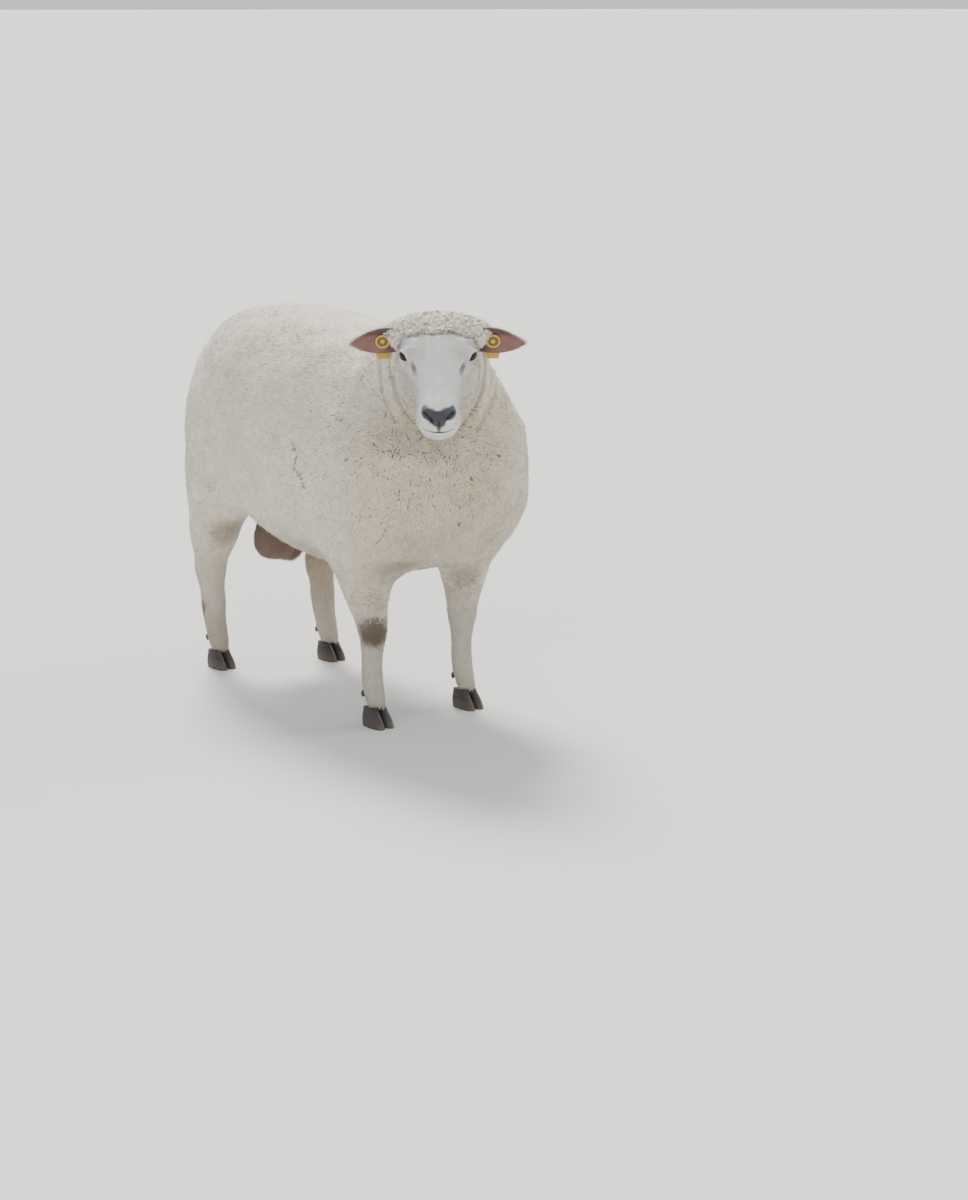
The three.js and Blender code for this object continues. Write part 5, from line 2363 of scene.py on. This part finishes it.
@dataclass
class EarTag:
    """A round button in front of the ear, and a blank panel that hangs behind it, in millimetres."""

    side: str
    head: HeadFrame
    radius: float = 14.0
    thickness: float = 3.2
    rim: float = 3.6
    dish: float = 1.3
    stud: float = 4.0
    step: float = 0.7  # the slope inside the rim
    skirt: float = 0.9  # the slope round the stud

    def button(self) -> Piece:
        """The dished button.

        Returns:
            The button.
        """
        bpy.ops.object.select_all(action="DESELECT")
        bpy.ops.mesh.primitive_cylinder_add(vertices=56, radius=self.radius, depth=self.thickness)
        disc = bpy.context.active_object
        disc.name = disc.data.name = f"ear_button_{self.side}"
        bpy.ops.object.mode_set(mode="EDIT")
        bpy.ops.mesh.select_mode(type="FACE")
        bpy.ops.mesh.select_all(action="DESELECT")
        bpy.ops.object.mode_set(mode="OBJECT")
        for face in disc.data.polygons:
            face.select = face.normal.z > 0.9
        bpy.ops.object.mode_set(mode="EDIT")
        bpy.ops.mesh.inset(thickness=self.rim)
        bpy.ops.mesh.inset(thickness=self.step)
        bpy.ops.transform.translate(value=(0, 0, -self.dish))
        bpy.ops.mesh.inset(thickness=self.radius - self.rim - self.step - self.stud - self.skirt)
        bpy.ops.mesh.inset(thickness=self.skirt)
        bpy.ops.transform.translate(value=(0, 0, self.dish * 1.25))
        bpy.ops.object.mode_set(mode="OBJECT")
        apply(disc, "BEVEL", width=0.45, segments=2, limit_method="ANGLE", angle_limit=math.radians(35))
        flat = points_of(disc)
        out = lengths(flat[:, :2])
        edge = self.radius - self.rim
        dish = smooth(self.stud, self.stud + 1.2, out) * smooth(edge + 0.3, edge - 1.0, out)
        paint(disc, "dish", dish * (flat[:, 2] > 0))
        front = unit(np.array([0.0, -1.0, 0.3]))
        across = np.array([1.0, 0.0, 0.0])
        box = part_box(f"tag_button_{self.side}")
        centre = self.head.local(np.mean([list(corner) for corner in box], axis=0)[None])
        places = flat @ np.array([across, np.cross(front, across), front])
        set_points(disc, self.head.world(places + centre))
        return disc

    def build(self) -> list[Piece]:
        """Makes the button and the panel.

        Returns:
            Both pieces.
        """
        button = self.button()
        panel = plain_copy(f"tag_panel_{self.side}")
        panel.name = panel.data.name = f"ear_panel_{self.side}"
        apply(panel, "BEVEL", width=0.5 * MM, segments=3, limit_method="ANGLE",
              angle_limit=math.radians(30))
        paint(panel, "dish", np.zeros(len(panel.data.vertices)))
        for piece, node in ((button, "tag_button"), (panel, "tag_panel")):
            pick(piece)
            bpy.ops.object.shade_smooth_by_angle(angle=math.radians(35))
            piece.data.materials.append(TagFinish().material())
            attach(piece, ROOT)
            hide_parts(f"{node}_{self.side}")
        return [button, panel]


@dataclass(frozen=True)
class EyeFinish:
    """A dark amber iris with a level slot of a pupil, under a clear wet surface."""

    iris: Triple = (0.022, 0.013, 0.007)
    rim: Triple = (0.010, 0.007, 0.006)
    pupil: Triple = (0.003, 0.003, 0.004)

    def material(self) -> Material:
        """Makes the material.

        Returns:
            The material.
        """
        g = Graph("eye")
        split = g.nodes.new("ShaderNodeSeparateXYZ")
        g.put(split.inputs[0], g.stored("gaze", True))
        u, v = split.outputs[0], split.outputs[1]
        around = g.math("SQRT", g.math("ADD", g.times(u, u), g.times(v, v)))
        ray = g.noise(520.0, 2.0)
        flecked = g.scaled(self.iris, g.vary(ray, 0.55, 1.5))
        eye = g.blend("MIX", g.range(around, 0.60, 0.70, 0.0, 1.0), flecked, self.rim)
        slot = g.math("ADD", g.math("POWER", g.math("ABSOLUTE", g.times(u, 2.6)), 3.0),
                      g.math("POWER", g.math("ABSOLUTE", g.times(v, 5.0)), 3.0))
        eye = g.blend("MIX", g.range(slot, 0.8, 1.2, 1.0, 0.0), eye, self.pupil)
        g.shade(base_color=eye, roughness=g.vary(ray, 0.07, 0.11), specular_ior_level=0.22)
        return g.material


@dataclass(frozen=True)
class HornFinish:
    """Dark horn, ringed across its growth, worn and dusty at the ground."""

    horn: Triple = (0.034, 0.029, 0.026)
    pale: Triple = (0.060, 0.050, 0.043)
    dust: Triple = (0.17, 0.13, 0.09)

    def material(self) -> Material:
        """Makes the material.

        Returns:
            The material.
        """
        g = Graph("horn")
        rings = g.noise(130.0, 3.0, 0.6, (0.2, 0.2, 2.6))
        fibre = g.noise(420.0, 3.0, 0.6, (1.0, 1.0, 0.35))
        colour = g.blend("MIX", g.range(rings, 0.42, 0.68, 0.0, 0.8), self.horn, self.pale)
        colour = g.scaled(colour, g.vary(fibre, 0.75, 1.2))
        split = g.nodes.new("ShaderNodeSeparateXYZ")
        g.put(split.inputs[0], g.place())
        low = g.range(split.outputs[2], 0.0, 0.022, 0.75, 0.0)
        colour = g.blend("MIX", g.times(low, g.noise(160.0, 3.0)), colour, self.dust)
        height = g.math("ADD", g.times(rings, 0.7), g.times(fibre, 0.3))
        g.shade(base_color=colour, roughness=g.vary(fibre, 0.42, 0.62),
                normal=g.bump(height, 0.0006, 0.6), specular_ior_level=0.4)
        return g.material


@dataclass(frozen=True)
class TagFinish:
    """Yellow moulded plastic, darker in its dish, with grubby spots, and scuffed all over."""

    plastic: Triple = (0.60, 0.35, 0.028)
    grime: Triple = (0.055, 0.042, 0.026)

    def material(self) -> Material:
        """Makes the material.

        Returns:
            The material.
        """
        g = Graph("tag_plastic")
        scuff = g.noise(330.0, 4.0, 0.65)
        colour = g.scaled(self.plastic, g.vary(scuff, 0.82, 1.08))
        # The dish of the button is darkened; the scattered spots are grime.
        dish_dark = g.times(g.stored("dish"), 0.86)
        spots = g.times(g.range(g.noise(140.0, 3.0), 0.55, 0.75, 0.0, 1.0), 0.35)
        colour = g.blend("MIX", g.math("MAXIMUM", dish_dark, spots), colour, self.grime)
        g.shade(base_color=colour, roughness=g.vary(scuff, 0.34, 0.52),
                normal=g.bump(scuff, 0.00025, 0.6), specular_ior_level=0.5)
        return g.material


# ---- the studio
@dataclass(frozen=True)
class Lamp:
    """A wide soft light from far away."""

    name: str
    towards: Triple
    spread: float  # how wide it looks from the animal, in degrees
    strength: float
    colour: Triple

    def build(self) -> None:
        """Hangs the lamp."""
        data = bpy.data.lights.new(self.name, "SUN")
        data.angle, data.energy, data.color = math.radians(self.spread), self.strength, self.colour
        lamp = bpy.data.objects.new(self.name, data)
        direction = Vector(self.towards).normalized()
        lamp.location = direction * 5.0
        lamp.rotation_euler = direction.to_track_quat("Z", "Y").to_euler()
        bpy.context.scene.collection.objects.link(lamp)


@dataclass(frozen=True)
class Studio:
    """A pale floor, soft light and the camera."""

    floor_size: float = 1200.0
    floor_colour: Triple = (0.70, 0.70, 0.69)
    sky: Triple = (0.86, 0.90, 0.96)
    sky_strength: float = 0.90
    lamps: tuple[Lamp, ...] = (
        Lamp("key", (0.24, 0.60, 0.88), 20.0, 5.2, (1.0, 0.955, 0.88)),
        Lamp("fill", (-0.75, -0.75, 0.55), 50.0, 0.85, (0.95, 0.975, 1.0)),
        Lamp("rim", (1.0, -0.25, 0.5), 30.0, 0.9, (1.0, 0.97, 0.92)),
    )
    camera_place: Triple = (-2.8724, -4.1199, 1.3880)
    camera_turn: float = -38.0
    camera_tilt: float = 13.4
    lens: float = 75.0

    def floor(self) -> None:
        """Lays the floor."""
        bpy.ops.object.select_all(action="DESELECT")
        bpy.ops.mesh.primitive_plane_add(size=self.floor_size)
        floor = bpy.context.active_object
        floor.name = "floor"
        g = Graph("floor")
        colour = g.scaled(self.floor_colour, g.vary(g.noise(3.0, 3.0), 0.985, 1.01))
        g.shade(base_color=colour, roughness=0.85, specular_ior_level=0.2)
        floor.data.materials.append(g.material)

    def build(self) -> None:
        """Sets everything up."""
        self.floor()
        world = bpy.data.worlds.new("studio")
        bpy.context.scene.world = world
        world.use_nodes = True
        background = world.node_tree.nodes["Background"]
        background.inputs["Color"].default_value = (*self.sky, 1.0)
        background.inputs["Strength"].default_value = self.sky_strength
        for lamp in self.lamps:
            lamp.build()
        data = bpy.data.cameras.new("camera")
        data.lens = self.lens
        camera = bpy.data.objects.new("camera", data)
        turn, tilt = math.radians(self.camera_turn), math.radians(self.camera_tilt)
        back = Vector((math.sin(turn) * math.cos(tilt), -math.cos(turn) * math.cos(tilt), math.sin(tilt)))
        camera.location = self.camera_place
        camera.rotation_euler = back.to_track_quat("Z", "Y").to_euler()
        bpy.context.scene.collection.objects.link(camera)
        bpy.context.scene.camera = camera


def main() -> None:
    """Builds the ram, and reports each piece."""
    logging.basicConfig(level=logging.INFO, format="%(message)s")
    anatomy = Anatomy()
    markings = Markings(anatomy)
    maker = Skin(anatomy, markings)
    skin = maker.build()
    report(skin)
    coat = Coat(anatomy, markings)
    coat.build_wool(maker.ground)
    coat.build_hair(skin, maker.blades_from)
    bpy.data.objects.remove(maker.ground)
    for side in SIDES:
        for piece in (Eye(side, anatomy.head).build(), *EarTag(side, anatomy.head).build()):
            report(piece)
    places = points_of(skin)
    for leg in anatomy.legs:
        report(Hoof(leg).build(places))
    Studio().build()


if __name__ == "__main__":
    main()
